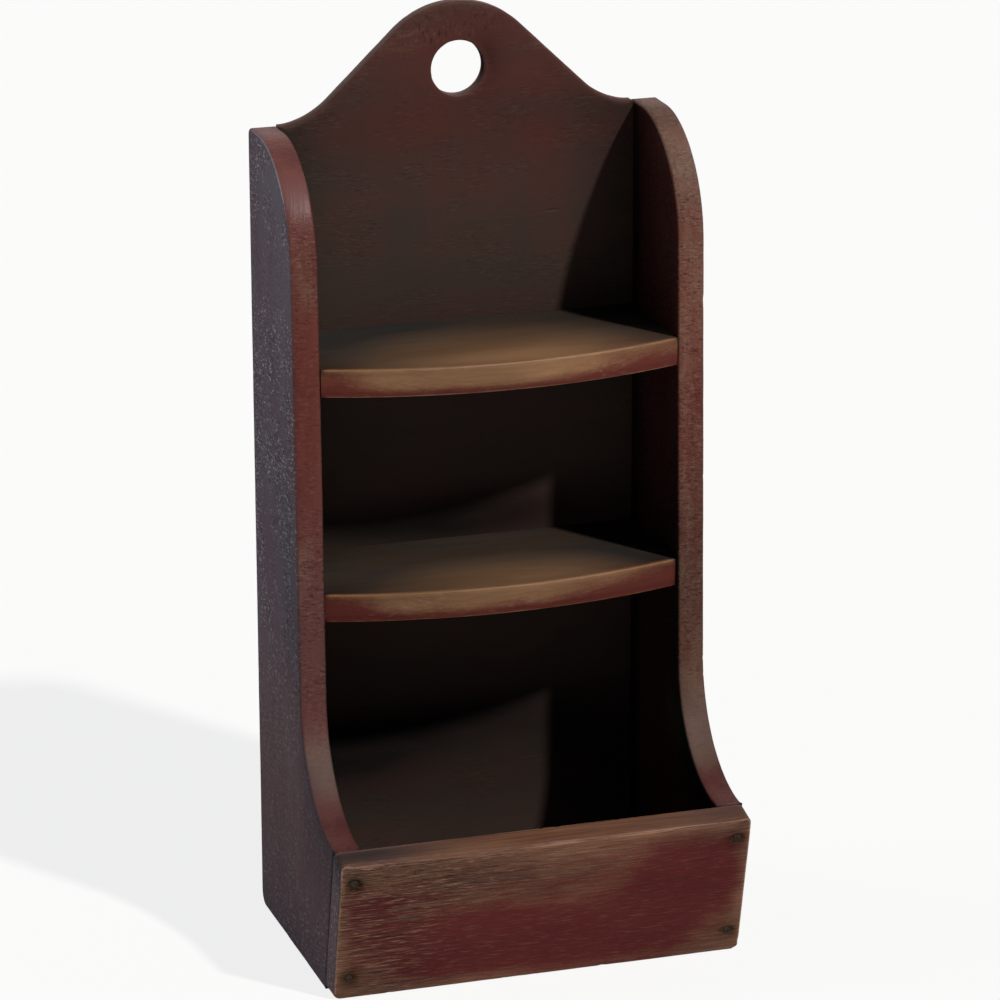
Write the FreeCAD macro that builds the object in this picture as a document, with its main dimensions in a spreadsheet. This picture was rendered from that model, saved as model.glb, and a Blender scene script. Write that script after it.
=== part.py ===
"""Hanging wall shelf: two shaped sides, a crested back, two bowed shelves and a small open bin.

Millimetres. +Z is up, the front faces -Y, and the origin is at the middle of the base of the
overall box. Each board is drawn from the back plane forwards, so inside a body y = 0 is that plane.
"""
import FreeCAD, Part
import math
import os
import Sketcher

# Driving sizes: name, value and meaning.
SIZES = [
    ("unit_width", 240.0, "over the two sides"),
    ("side_thick", 16.0, "thickness of each side"),
    ("side_height", 465.0, "top of each side"),
    ("side_depth", 90.2, "depth of the side at the lower shelf's top"),
    ("side_tilt", 1.4, "lean of the side's front edge, in degrees"),
    ("side_top_round", 66.0, "radius of the side's upper front corner"),
    ("side_foot_round", 8.0, "radius of the side's lower back corner"),
    ("side_edge_round", 1.2, "worn arris along the side's front edge"),
    ("back_thick", 9.5, "thickness of the back board"),
    ("shoulder_rise", 1.5, "back board's shoulders above the top of the sides"),
    ("crest_rise", 63.0, "crest's crown above the shoulders"),
    ("crown_share", 0.45, "the crown's share of the crest's whole curve"),
    ("cove_share", 0.36, "the hollows' share of the crest's whole curve"),
    ("hang_hole_radius", 15.9, "radius of the hanging hole"),
    ("hang_hole_drop", 38.0, "centre of the hanging hole below the crown's top"),
    ("shelf_thick", 16.0, "thickness of both shelves"),
    ("upper_shelf_top", 346.2, "top face of the upper shelf"),
    ("lower_shelf_top", 215.6, "top face of the lower shelf"),
    ("upper_shelf_bow", 18.5, "how far the upper shelf's front swells"),
    ("lower_shelf_bow", 16.5, "how far the lower shelf's front swells"),
    ("lower_shelf_setback", 2.8, "lower shelf's front corners behind the sides' edge"),
    ("shelf_edge_round", 1.5, "worn arris of the shelves' front edge"),
    ("bin_height", 90.8, "top of the sides where the front board meets them"),
    ("bin_depth", 157.8, "depth of the sides at the top of the front board"),
    ("bottom_thick", 12.0, "thickness of the bottom board"),
    ("front_thick", 16.5, "thickness of the front board"),
    ("front_tilt", 13.4, "lean of the front board, in degrees"),
    ("front_lip_round", 4.5, "worn upper front edge of the front board"),
    ("front_foot_corner", 5.0, "worn lower corners of the front board"),
    ("front_top_corner", 2.5, "worn upper corners of the front board"),
    ("nail_length", 38.0, "length of every nail"),
    ("nail_head_long", 5.4, "long side of a nail head"),
    ("nail_head_short", 4.6, "short side of a nail head"),
    ("nail_head_thick", 1.4, "thickness of a nail head"),
    ("nail_shank", 2.4, "width of a nail's square shank"),
    ("nail_sink", 0.8, "front nails' heads under the board's face"),
    ("front_nail_foot", 13.6, "lower front nails, up the face from its foot"),
    ("front_nail_top", 12.4, "upper front nails, down the face from its top"),
    ("shelf_nail_inset", 20.0, "shelf nails from the front and back of the shelf's end"),
    ("bottom_nail_inset", 30.0, "bottom nails from the front and back of the bottom's end"),
    ("back_nail_end", 50.0, "end nails into the back's edges, from the base and the sides' top"),
    ("back_nail_inset", 34.0, "outer nails from the back into a shelf, inside the sides"),
]

# Shared measures, worked out from the driving sizes.
HALF_WIDTH = "sizes.unit_width / 2"
HALF_BAY = "(sizes.unit_width / 2 - sizes.side_thick)"
FOOT_DEPTH = "(sizes.bin_depth - sizes.bin_height * tan(sizes.front_tilt))"
OUTER_FOOT_DEPTH = f"({FOOT_DEPTH} + sizes.front_thick / cos(sizes.front_tilt))"
UNIT_DEPTH = (
    "(sizes.bin_depth + sizes.front_thick * cos(sizes.front_tilt)"
    " - sizes.front_lip_round * (cos(sizes.front_tilt) + sin(sizes.front_tilt) - 1))"
)
BACK_PLANE = f"{UNIT_DEPTH} / 2"
BACK_FACE = "sizes.back_thick"
SIDE_DEPTHS = {
    "lower": "sizes.side_depth",
    "upper": "(sizes.side_depth - (sizes.upper_shelf_top - sizes.lower_shelf_top) * tan(sizes.side_tilt))",
}
CORNER_DEPTHS = {
    "lower": "(sizes.side_depth - sizes.lower_shelf_setback)",
    "upper": SIDE_DEPTHS["upper"],
}
SHOULDER_TOP = "(sizes.side_height + sizes.shoulder_rise)"
CREST_TOP = f"({SHOULDER_TOP} + sizes.crest_rise)"
CREST_CURVE = f"(({HALF_BAY}^2 + sizes.crest_rise^2) / (2 * sizes.crest_rise))"
CROWN_ROUND = f"(sizes.crown_share * {CREST_CURVE})"
COVE_ROUND = f"(sizes.cove_share * {CREST_CURVE})"
FACE_LENGTH = "((sizes.bin_height - sizes.front_thick * sin(sizes.front_tilt)) / cos(sizes.front_tilt))"

X_AXIS = FreeCAD.Vector(1, 0, 0)
START, END, CENTRE = range(1, 4)
ORIGIN_POINT = (-1, START)


def fill_sheet(doc):
    """Write the driving sizes into the document's spreadsheet."""
    sheet = doc.addObject("Spreadsheet::Sheet", "sizes")
    for row, (name, value, meaning) in enumerate(SIZES, start=1):
        sheet.set(f"A{row}", name)
        sheet.set(f"B{row}", str(value))
        sheet.set(f"C{row}", meaning)
        sheet.setAlias(f"B{row}", name)
    doc.recompute()
    return sheet


def number(thing, expression):
    """Give the value that an expression has in the document of this object."""
    value = thing.evalExpression(str(expression))
    return float(getattr(value, "Value", value))


def new_body(doc, name, x="0", y=BACK_PLANE, z="0"):
    """Start a body whose place follows the sheet."""
    body = doc.addObject("PartDesign::Body", name)
    for axis, place in zip("xyz", (x, y, z)):
        body.setExpression(f"Placement.Base.{axis}", place)
    return body


def origin_plane(body, role):
    """Find one of a body's own origin planes."""
    return next(item for item in body.Origin.OriginFeatures if item.Role == role)


def new_sketch(body, name, role, lift="0"):
    """Start a sketch on an origin plane of the body, lifted along the plane's normal."""
    sketch = body.newObject("Sketcher::SketchObject", name)
    sketch.AttachmentSupport = (origin_plane(body, role), [""])
    sketch.MapMode = "FlatFace"
    sketch.setExpression("AttachmentOffset.Base.z", lift)
    return sketch


def bind(sketch, kind, links, expression):
    """Add a sized constraint and tie its size to an expression."""
    index = sketch.addConstraint(Sketcher.Constraint(kind, *links, number(sketch, expression)))
    sketch.setExpression(f"Constraints[{index}]", expression)


def place(sketch, piece, corner, across=None, up=None):
    """Hold one point of a piece of geometry at its place in the sketch."""
    if across is not None:
        bind(sketch, "DistanceX", (*ORIGIN_POINT, piece, corner), across)
    if up is not None:
        bind(sketch, "DistanceY", (*ORIGIN_POINT, piece, corner), up)


def line(first, last):
    """Give a straight stretch of an outline with its first and last ends."""
    start = FreeCAD.Vector(*first, 0)
    end = FreeCAD.Vector(*last, 0)
    return Part.LineSegment(start, end), START, END


def arc(centre, radius, start_deg, end_deg, backwards=False):
    """Give a round stretch of an outline, drawn anticlockwise, with its first and last ends."""
    circle = Part.Circle(FreeCAD.Vector(*centre, 0), FreeCAD.Vector(0, 0, 1), radius)
    curve = Part.ArcOfCircle(circle, math.radians(start_deg), math.radians(end_deg))
    return (curve, END, START) if backwards else (curve, START, END)


def close_outline(sketch, stretches, smooth_joints):
    """Add the stretches one after another and join them, smoothly where the index says so."""
    pieces = [sketch.addGeometry(stretch[0], False) for stretch in stretches]
    for index, piece in enumerate(pieces):
        following = (index + 1) % len(pieces)
        kind = "Tangent" if index in smooth_joints else "Coincident"
        ends = (piece, stretches[index][2], pieces[following], stretches[following][1])
        sketch.addConstraint(Sketcher.Constraint(kind, *ends))
    return pieces


def pad(body, sketch, name, length, backwards=False):
    """Thicken a sketch along its plane's normal."""
    feature = body.newObject("PartDesign::Pad", name)
    feature.Profile = sketch
    feature.Reversed = backwards
    feature.setExpression("Length", length)
    return feature


def round_edges(doc, body, name, radius, chosen):
    """Round the edges of the body's last feature that a test picks."""
    doc.recompute()
    base = body.Tip
    picked = [f"Edge{i}" for i, edge in enumerate(base.Shape.Edges, start=1) if chosen(edge)]
    if not picked:
        raise RuntimeError(f"{name}: no edge to round")
    feature = body.newObject("PartDesign::Fillet", name)
    feature.Base = (base, picked)
    feature.setExpression("Radius", radius)
    return feature


def make_side(doc, name, left_face):
    """Side: round upper front corner, slightly leaning front edge, hollow flare down to the bin."""
    body = new_body(doc, name, x=left_face)
    sketch = new_sketch(body, f"{name}_outline", "YZ_Plane")
    value = {key: number(sketch, f"sizes.{key}") for key, _, _ in SIZES}
    top = value["side_height"]
    foot = value["side_foot_round"]
    bend = value["side_top_round"]
    depths = {shelf: number(sketch, depth) for shelf, depth in SIDE_DEPTHS.items()}
    brow_depth = depths["upper"] - bend
    flare = value["bin_depth"] - depths["lower"]
    flare_top = value["bin_height"] + flare
    foot_depth = number(sketch, FOOT_DEPTH)
    stretches = [
        line((0, foot), (0, top)),
        line((0, top), (-brow_depth, top)),
        arc((-brow_depth, top - bend), bend, 90, 180),
        line((-depths["upper"], top - bend), (-depths["lower"], flare_top)),
        arc((-value["bin_depth"], flare_top), flare, 270, 360, backwards=True),
        line((-value["bin_depth"], value["bin_height"]), (-foot_depth, 0)),
        line((-foot_depth, 0), (-foot, 0)),
        arc((-foot, foot), foot, 270, 360),
    ]
    back, brow, upper, edge, hollow, seam, base, heel = close_outline(sketch, stretches, {1, 2, 3, 6, 7})
    place(sketch, back, END, across="0", up="sizes.side_height")
    sketch.addConstraint(Sketcher.Constraint("Vertical", back))
    sketch.addConstraint(Sketcher.Constraint("Horizontal", brow))
    bind(sketch, "Radius", (upper,), "sizes.side_top_round")
    for shelf, depth in SIDE_DEPTHS.items():
        spot = FreeCAD.Vector(-depths[shelf], value[f"{shelf}_shelf_top"], 0)
        mark = sketch.addGeometry(Part.Point(spot), True)
        place(sketch, mark, START, across=f"-{depth}", up=f"sizes.{shelf}_shelf_top")
        sketch.addConstraint(Sketcher.Constraint("PointOnObject", mark, START, edge))
    place(sketch, hollow, START, across="-sizes.bin_depth", up="sizes.bin_height")
    place(sketch, hollow, CENTRE, across="-sizes.bin_depth")
    place(sketch, seam, END, across=f"-{FOOT_DEPTH}", up="0")
    sketch.addConstraint(Sketcher.Constraint("Horizontal", base))
    bind(sketch, "Radius", (heel,), "sizes.side_foot_round")
    pad(body, sketch, f"{name}_board", "sizes.side_thick")
    top_lead = (value["side_height"] + value["upper_shelf_top"]) / 2
    round_edges(doc, body, f"{name}_arris", "sizes.side_edge_round",
                lambda rim: abs(rim.tangentAt(rim.FirstParameter).x) < 0.5 and
                rim.BoundBox.YMin < -value["back_thick"] and rim.BoundBox.ZMin > value["bin_height"] - foot
                and (rim.BoundBox.ZMax > top_lead or rim.BoundBox.YMax < -value["back_thick"]))
    return body


def make_back(doc):
    """Back board: round crown with a hollow each side of it, and the hanging hole."""
    body = new_body(doc, "back_board_blank")
    sketch = new_sketch(body, "back_outline", "XZ_Plane")
    half = number(sketch, HALF_BAY)
    shoulder = number(sketch, SHOULDER_TOP)
    crown = number(sketch, CROWN_ROUND)
    cove = number(sketch, COVE_ROUND)
    crown_centre = number(sketch, CREST_TOP) - crown
    cove_centre = shoulder + cove
    reach = math.hypot(half, cove_centre - crown_centre)
    slope = math.atan2(cove_centre - crown_centre, half) + math.acos((crown + cove) / reach)
    steep = math.degrees(slope)
    crown_end = (crown * math.cos(slope), crown_centre + crown * math.sin(slope))
    cove_end = (half - cove * math.cos(slope), cove_centre - cove * math.sin(slope))
    stretches = [
        line((-half, 0), (half, 0)),
        line((half, 0), (half, shoulder)),
        arc((half, cove_centre), cove, 180 + steep, 270, backwards=True),
        line(cove_end, crown_end),
        arc((0, crown_centre), crown, steep, 180 - steep),
        line((-crown_end[0], crown_end[1]), (-cove_end[0], cove_end[1])),
        arc((-half, cove_centre), cove, 270, 360 - steep, backwards=True),
        line((-half, shoulder), (-half, 0)),
    ]
    base, right, right_cove, _, crest, _, left_cove, left = close_outline(sketch, stretches, {2, 3, 4, 5})
    place(sketch, base, START, across=f"-{HALF_BAY}", up="0")
    place(sketch, base, END, across=HALF_BAY, up="0")
    place(sketch, right, END, across=HALF_BAY, up=SHOULDER_TOP)
    place(sketch, left, START, across=f"-{HALF_BAY}", up=SHOULDER_TOP)
    for hollow, across in ((right_cove, HALF_BAY), (left_cove, f"-{HALF_BAY}")):
        bind(sketch, "Radius", (hollow,), COVE_ROUND)
        place(sketch, hollow, CENTRE, across=across)
    bind(sketch, "Radius", (crest,), CROWN_ROUND)
    place(sketch, crest, CENTRE, across="0", up=f"{CREST_TOP} - {CROWN_ROUND}")
    hole_height = f"{CREST_TOP} - sizes.hang_hole_drop"
    hole_centre = FreeCAD.Vector(0, number(sketch, hole_height), 0)
    hole_radius = number(sketch, "sizes.hang_hole_radius")
    hole = sketch.addGeometry(Part.Circle(hole_centre, FreeCAD.Vector(0, 0, 1), hole_radius), False)
    place(sketch, hole, CENTRE, across="0", up=hole_height)
    bind(sketch, "Radius", (hole,), "sizes.hang_hole_radius")
    pad(body, sketch, "back_sheet", "sizes.back_thick")
    return body


def make_shelf(doc, name, shelf):
    """Shelf between the sides, in front of the back board, with a bowed front edge."""
    corner_depth = CORNER_DEPTHS[shelf]
    body = new_body(doc, name, z=f"sizes.{shelf}_shelf_top - sizes.shelf_thick")
    sketch = new_sketch(body, f"{name}_outline", "XY_Plane")
    half = number(sketch, HALF_BAY)
    back = number(sketch, BACK_FACE)
    corner = number(sketch, corner_depth)
    bow = number(sketch, f"sizes.{shelf}_shelf_bow")
    sweep = f"({HALF_BAY}^2 + sizes.{shelf}_shelf_bow^2) / (2 * sizes.{shelf}_shelf_bow)"
    radius = number(sketch, sweep)
    spread = math.degrees(math.asin(half / radius))
    stretches = [
        line((half, -corner), (half, -back)),
        line((half, -back), (-half, -back)),
        line((-half, -back), (-half, -corner)),
        arc((0, radius - corner - bow), radius, 270 - spread, 270 + spread),
    ]
    right, rear, left, front = close_outline(sketch, stretches, set())
    place(sketch, right, START, across=HALF_BAY, up=f"-{corner_depth}")
    place(sketch, right, END, across=HALF_BAY, up=f"-{BACK_FACE}")
    place(sketch, left, START, across=f"-{HALF_BAY}", up=f"-{BACK_FACE}")
    place(sketch, left, END, across=f"-{HALF_BAY}", up=f"-{corner_depth}")
    bind(sketch, "Radius", (front,), sweep)
    pad(body, sketch, f"{name}_board", "sizes.shelf_thick")
    round_edges(doc, body, f"{name}_arris", "sizes.shelf_edge_round",
                lambda rim: rim.Curve.TypeId == "Part::GeomCircle")
    return body


def make_bottom(doc):
    """Bottom board: between the sides, its front edge bevelled to meet the leaning front board."""
    body = new_body(doc, "bottom_board_blank", x=f"-{HALF_BAY}")
    sketch = new_sketch(body, "bottom_outline", "YZ_Plane")
    back = number(sketch, BACK_FACE)
    foot_depth = number(sketch, FOOT_DEPTH)
    top_depth = f"({FOOT_DEPTH} + sizes.bottom_thick * tan(sizes.front_tilt))"
    thick = number(sketch, "sizes.bottom_thick")
    upper = number(sketch, top_depth)
    stretches = [
        line((-back, 0), (-back, thick)),
        line((-back, thick), (-upper, thick)),
        line((-upper, thick), (-foot_depth, 0)),
        line((-foot_depth, 0), (-back, 0)),
    ]
    rear, top, bevel, base = close_outline(sketch, stretches, set())
    place(sketch, rear, START, across=f"-{BACK_FACE}", up="0")
    place(sketch, rear, END, across=f"-{BACK_FACE}", up="sizes.bottom_thick")
    place(sketch, top, END, across=f"-{top_depth}", up="sizes.bottom_thick")
    place(sketch, bevel, END, across=f"-{FOOT_DEPTH}", up="0")
    pad(body, sketch, "bottom_sheet", f"2 * {HALF_BAY}")
    return body


def make_front(doc):
    """Front board: over the sides' ends, leaning forwards, with a worn upper edge and corners."""
    body = new_body(doc, "front_board_blank", x=f"-{HALF_WIDTH}")
    sketch = new_sketch(body, "front_outline", "YZ_Plane")
    value = {key: number(sketch, f"sizes.{key}") for key, _, _ in SIZES}
    tilt = math.radians(value["front_tilt"])
    lip = value["front_lip_round"]
    thick = value["front_thick"]
    up_face = (-math.sin(tilt), math.cos(tilt))
    out_face = (-math.cos(tilt), -math.sin(tilt))
    inner_foot = (-number(sketch, FOOT_DEPTH), 0)
    outer_foot = (-number(sketch, OUTER_FOOT_DEPTH), 0)
    inner_top = (-value["bin_depth"], value["bin_height"])
    top_end = tuple(inner_top[i] + out_face[i] * (thick - lip) for i in range(2))
    lip_centre = tuple(top_end[i] - up_face[i] * lip for i in range(2))
    face_end = tuple(lip_centre[i] + out_face[i] * lip for i in range(2))
    lean = value["front_tilt"]
    stretches = [
        line(inner_foot, inner_top),
        line(inner_top, top_end),
        arc(lip_centre, lip, 90 + lean, 180 + lean),
        line(face_end, outer_foot),
        line(outer_foot, inner_foot),
    ]
    inner, top, edge, face, base = close_outline(sketch, stretches, {1, 2})
    place(sketch, inner, START, across=f"-{FOOT_DEPTH}", up="0")
    place(sketch, inner, END, across="-sizes.bin_depth", up="sizes.bin_height")
    place(sketch, face, END, across=f"-{OUTER_FOOT_DEPTH}", up="0")
    sketch.addConstraint(Sketcher.Constraint("Perpendicular", inner, top))
    sketch.addConstraint(Sketcher.Constraint("Parallel", inner, face))
    bind(sketch, "Radius", (edge,), "sizes.front_lip_round")
    pad(body, sketch, "front_sheet", "sizes.unit_width")

    def corner_edge(rim, low):
        """Tell whether an edge runs through the board's thickness at its lower or upper corners."""
        box = rim.BoundBox
        at_end = box.XLength < value["side_edge_round"] and rim.Curve.TypeId == "Part::GeomLine"
        through = box.YLength > thick / 2 and box.ZLength < thick / 2
        return at_end and through and (box.ZMax < thick) == low

    for place_name, low in (("foot", True), ("top", False)):
        round_edges(doc, body, f"front_{place_name}_corners", f"sizes.front_{place_name}_corner",
                    lambda rim, low=low: corner_edge(rim, low))
    return body


def draw_rectangles(sketch, centres, wide, tall):
    """Draw one rectangle round each centre, every corner tied to the sheet."""
    for across, up in centres:
        sides = (f"({across}) - {wide} / 2", f"({across}) + {wide} / 2")
        ends = (f"({up}) - {tall} / 2", f"({up}) + {tall} / 2")
        order = [(0, 0), (1, 0), (1, 1), (0, 1)]
        corners = [(sides[i], ends[j]) for i, j in order]
        points = [(number(sketch, x), number(sketch, y)) for x, y in corners]
        stretches = [line(points[i], points[(i + 1) % 4]) for i in range(4)]
        for piece, (x, y) in zip(close_outline(sketch, stretches, set()), corners):
            place(sketch, piece, START, across=x, up=y)


def make_nails(doc, name, role, centres, lift="0", place_y=BACK_PLANE, backwards=False, mirrored=False):
    """Square blunt nails with flat heads, driven square to one plane, at each centre."""
    body = new_body(doc, name, y=place_y)
    body.AllowCompound = True
    head_sketch = new_sketch(body, f"{name}_heads", role, lift)
    draw_rectangles(head_sketch, centres, "sizes.nail_head_short", "sizes.nail_head_long")
    heads = pad(body, head_sketch, f"{name}_head", "sizes.nail_head_thick", backwards=backwards)
    sign = "-" if backwards else "+"
    shank_sketch = new_sketch(body, f"{name}_shanks", role, f"({lift}) {sign} sizes.nail_head_thick")
    draw_rectangles(shank_sketch, centres, "sizes.nail_shank", "sizes.nail_shank")
    shank_length = "sizes.nail_length - sizes.nail_head_thick"
    shanks = pad(body, shank_sketch, f"{name}_shank", shank_length, backwards)
    if mirrored:
        mirror = body.newObject("PartDesign::Mirrored", f"{name}_other_side")
        mirror.Originals = [heads, shanks]
        mirror.MirrorPlane = (origin_plane(body, "YZ_Plane"), [""])
        body.Tip = mirror
    return body


def make_side_nails(doc, name, centres):
    """Nails through both sides, in the same places left and right."""
    return make_nails(doc, name, "YZ_Plane", centres, lift=f"-{HALF_WIDTH}", mirrored=True)


def front_nail_centres():
    """Places of the front nails on the board's face: across, and up the slope from its foot."""
    across = f"({HALF_WIDTH} - sizes.side_thick / 2)"
    heights = ("sizes.front_nail_foot", f"({FACE_LENGTH} - sizes.front_nail_top)")
    return [(f"{sign}{across}", height) for sign in ("-", "+") for height in heights]


def tilt_to_front(body):
    """Turn a body so that its XZ plane lies on the front board's outer face."""
    body.Placement.Rotation = FreeCAD.Rotation(X_AXIS, 1)
    body.setExpression("Placement.Rotation.Angle", "sizes.front_tilt")


def make_front_nails(doc):
    """Four nails through the front board into the ends of the sides, heads a little sunk."""
    body = make_nails(doc, "front_board_nails", "XZ_Plane", front_nail_centres(), lift="-sizes.nail_sink",
                      place_y=f"{BACK_PLANE} - {OUTER_FOOT_DEPTH}", backwards=True)
    tilt_to_front(body)
    return body


def make_front_recesses(doc):
    """The shallow sunk places above the front nails' heads, as a cutting shape."""
    body = new_body(doc, "front_recesses", y=f"{BACK_PLANE} - {OUTER_FOOT_DEPTH}")
    body.AllowCompound = True
    sketch = new_sketch(body, "front_recess_marks", "XZ_Plane", "sizes.nail_sink")
    draw_rectangles(sketch, front_nail_centres(), "sizes.nail_head_short", "sizes.nail_head_long")
    pad(body, sketch, "front_recess", "2 * sizes.nail_sink", backwards=True)
    tilt_to_front(body)
    return body


def along_end(depth, inset, height):
    """Places of two nails in a board's end, the same way in from its back and from its front."""
    return [(f"-({BACK_FACE} + {inset})", height), (f"-({depth} - {inset})", height)]


def make_nail_groups(doc):
    """Every group of nails: through the front board, through the sides and through the back."""
    upper_mid = "sizes.upper_shelf_top - sizes.shelf_thick / 2"
    lower_mid = "sizes.lower_shelf_top - sizes.shelf_thick / 2"
    bottom_mid = "sizes.bottom_thick / 2"
    upper_row = along_end(CORNER_DEPTHS["upper"], "sizes.shelf_nail_inset", upper_mid)
    lower_row = along_end(CORNER_DEPTHS["lower"], "sizes.shelf_nail_inset", lower_mid)
    bottom_row = along_end(FOOT_DEPTH, "sizes.bottom_nail_inset", bottom_mid)
    highest = "sizes.side_height - sizes.back_nail_end"
    edge_heights = ("sizes.back_nail_end", "sizes.side_height / 2", highest)
    outer = f"({HALF_BAY} - sizes.back_nail_inset)"
    columns = (f"-{outer}", "0", outer)
    through_back = [(column, row) for row in (upper_mid, lower_mid, bottom_mid) for column in columns]
    return [
        make_front_nails(doc),
        make_side_nails(doc, "upper_shelf_nails", upper_row),
        make_side_nails(doc, "lower_shelf_nails", lower_row),
        make_side_nails(doc, "bottom_board_nails", bottom_row),
        make_side_nails(doc, "back_edge_nails", [(f"-{BACK_FACE} / 2", height) for height in edge_heights]),
        make_nails(doc, "back_face_nails", "XZ_Plane", through_back),
    ]


def bore_for_nails(doc, name, blank, holes):
    """Cut the nails' holes in a board, so that wood and iron meet face to face."""
    board = doc.addObject("Part::Cut", name)
    board.Base = blank
    board.Tool = holes
    return board


def check(doc, parts):
    """Stop if any object failed to compute or any part is empty or not valid."""
    for item in doc.Objects:
        if "Invalid" in item.State or "Error" in item.State:
            raise RuntimeError(f"{item.Name}: {item.State}")
    for part in parts:
        if part.Shape.isNull() or not part.Shape.isValid() or not part.Shape.Solids:
            raise RuntimeError(f"{part.Name}: shape is empty or not valid")


def main():
    """Build every board and nail, check them and write one file each."""
    doc = FreeCAD.newDocument("wall_shelf")
    sheet = fill_sheet(doc)
    blanks = {
        "left_side": make_side(doc, "left_side_blank", f"-{HALF_WIDTH}"),
        "right_side": make_side(doc, "right_side_blank", f"{HALF_WIDTH} - sizes.side_thick"),
        "back_board": make_back(doc),
        "upper_shelf": make_shelf(doc, "upper_shelf_blank", "upper"),
        "lower_shelf": make_shelf(doc, "lower_shelf_blank", "lower"),
        "bottom_board": make_bottom(doc),
        "front_board": make_front(doc),
    }
    nails = make_nail_groups(doc)
    holes = doc.addObject("Part::Compound", "nail_holes")
    holes.Links = nails + [make_front_recesses(doc)]
    doc.recompute()
    boards = [bore_for_nails(doc, name, blank, holes) for name, blank in blanks.items()]
    doc.recompute()
    parts = boards + nails
    check(doc, parts)
    os.makedirs("parts", exist_ok=True)
    for part in parts:
        part.Label = part.Name
        part.Shape.exportStep(f"parts/{part.Label}.step")
        box = part.Shape.BoundBox
        low = f"{box.XMin:.2f} {box.YMin:.2f} {box.ZMin:.2f}"
        high = f"{box.XMax:.2f} {box.YMax:.2f} {box.ZMax:.2f}"
        volume = part.Shape.Volume / 1000
        print(f"{part.Label}: {len(part.Shape.Solids)} solids, {volume:.2f} cm3, {low} to {high}")
    print(f"unit depth {number(sheet, UNIT_DEPTH):.3f} mm")


main()
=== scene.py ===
"""Hanging wall shelf in old red milk paint: worn boards, nails and a plain studio.

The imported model's frame is used: +Z up, the front faces -Y, the origin at the middle of the base.
Boards are worked out in millimetres and become metres when their meshes are made. Wear only ever
takes wood away, so every board stays inside the solid that it replaces.
"""
import logging
import math
from dataclasses import astuple, dataclass, field, replace
from enum import Enum
from types import SimpleNamespace
from typing import Callable

import bpy
import numpy as np
from mathutils import Matrix, Vector
from mathutils.geometry import delaunay_2d_cdt

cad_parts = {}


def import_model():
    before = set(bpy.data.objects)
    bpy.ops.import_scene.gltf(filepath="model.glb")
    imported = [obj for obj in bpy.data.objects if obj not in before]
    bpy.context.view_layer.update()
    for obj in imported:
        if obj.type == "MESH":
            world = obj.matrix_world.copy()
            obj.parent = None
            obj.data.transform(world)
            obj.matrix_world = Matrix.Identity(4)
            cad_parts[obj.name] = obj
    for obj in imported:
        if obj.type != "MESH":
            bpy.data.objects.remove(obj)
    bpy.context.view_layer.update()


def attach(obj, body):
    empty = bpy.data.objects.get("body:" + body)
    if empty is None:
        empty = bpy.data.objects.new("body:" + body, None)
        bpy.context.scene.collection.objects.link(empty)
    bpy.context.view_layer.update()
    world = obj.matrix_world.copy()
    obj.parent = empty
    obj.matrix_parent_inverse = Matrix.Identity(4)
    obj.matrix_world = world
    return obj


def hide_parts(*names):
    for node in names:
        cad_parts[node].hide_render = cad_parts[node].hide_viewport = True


LOG = logging.getLogger("wall_shelf")
MM = 0.001
BODY = "root"
# A patch that reaches this far along an axis has no end that way, in millimetres.
FAR = 1.0e6
# How much farther off an arris with all its paint counts than a worn one, in millimetres.
UNWORN = 30.0
# The most that wear may take off a long straight edge, in millimetres.
MOST_WORN = 20.0
# Depth under a face over which its unevenness dies away, in millimetres.
SILL = 1.6
# Lengths along a board's fibres, width and depth of the waves in its faces, in millimetres.
WAVES = (90.0, 35.0, 35.0)
FINE_WAVES = 38.0
# Lengths of an edge's uneven wear, of its uneven rounding and of its nicks, in millimetres.
EDGE_WAVES, ROUND_WAVES, NICKS = 11.0, 17.0, 4.5
# A dent smaller than this, in millimetres, gets rings of points of its own.
SMALL_DENT = 12.0
DENT_RINGS = (0.3, 0.55, 0.72, 0.84, 0.96, 1.12)
# What the paint takes where a board says nothing else, by quality.
PLAIN = {"coat": 0.8, "haze_and_painted_light": 0.0, "soil_and_shade": 0.2, "rough": 1.0, "curl": 0.0, "shine": 1.0}
Socket = bpy.types.NodeSocket
Colour = tuple[int, int, int]
Spot2 = tuple[float, float]
Spot3 = tuple[float, float, float]
X: Spot3 = (1.0, 0.0, 0.0)
Y: Spot3 = (0.0, 1.0, 0.0)
Z: Spot3 = (0.0, 0.0, 1.0)
TO_FRONT: Spot3 = (0.0, -1.0, 0.0)


def linear(colour: Colour) -> tuple[float, float, float, float]:
    """Turn a colour as seen on screen, 0 to 255, into the shader's own scale.

    Args:
        colour: red, green and blue as seen on screen.

    Returns:
        The same colour in linear light, with full alpha.
    """
    shares = [value / 255.0 for value in colour]
    light = [s / 12.92 if s <= 0.04045 else ((s + 0.055) / 1.055) ** 2.4 for s in shares]
    return light[0], light[1], light[2], 1.0


def lattice(cells: np.ndarray, seed: int) -> np.ndarray:
    """Give every whole-number cell its own fixed number.

    Args:
        cells: whole-number cells, one row each.
        seed: which set of numbers to use.

    Returns:
        One number from 0 to 1 for each cell.
    """
    x, y, z = (cells[:, axis].astype(np.uint32) for axis in range(3))
    mixed = x * np.uint32(374761393) + y * np.uint32(668265263) + z * np.uint32(2246822519)
    mixed = mixed + np.uint32(seed * 3266489917 & 0xFFFFFFFF)
    mixed = (mixed ^ (mixed >> np.uint32(13))) * np.uint32(1274126177)
    return (mixed ^ (mixed >> np.uint32(16))) / 4294967295.0


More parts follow.
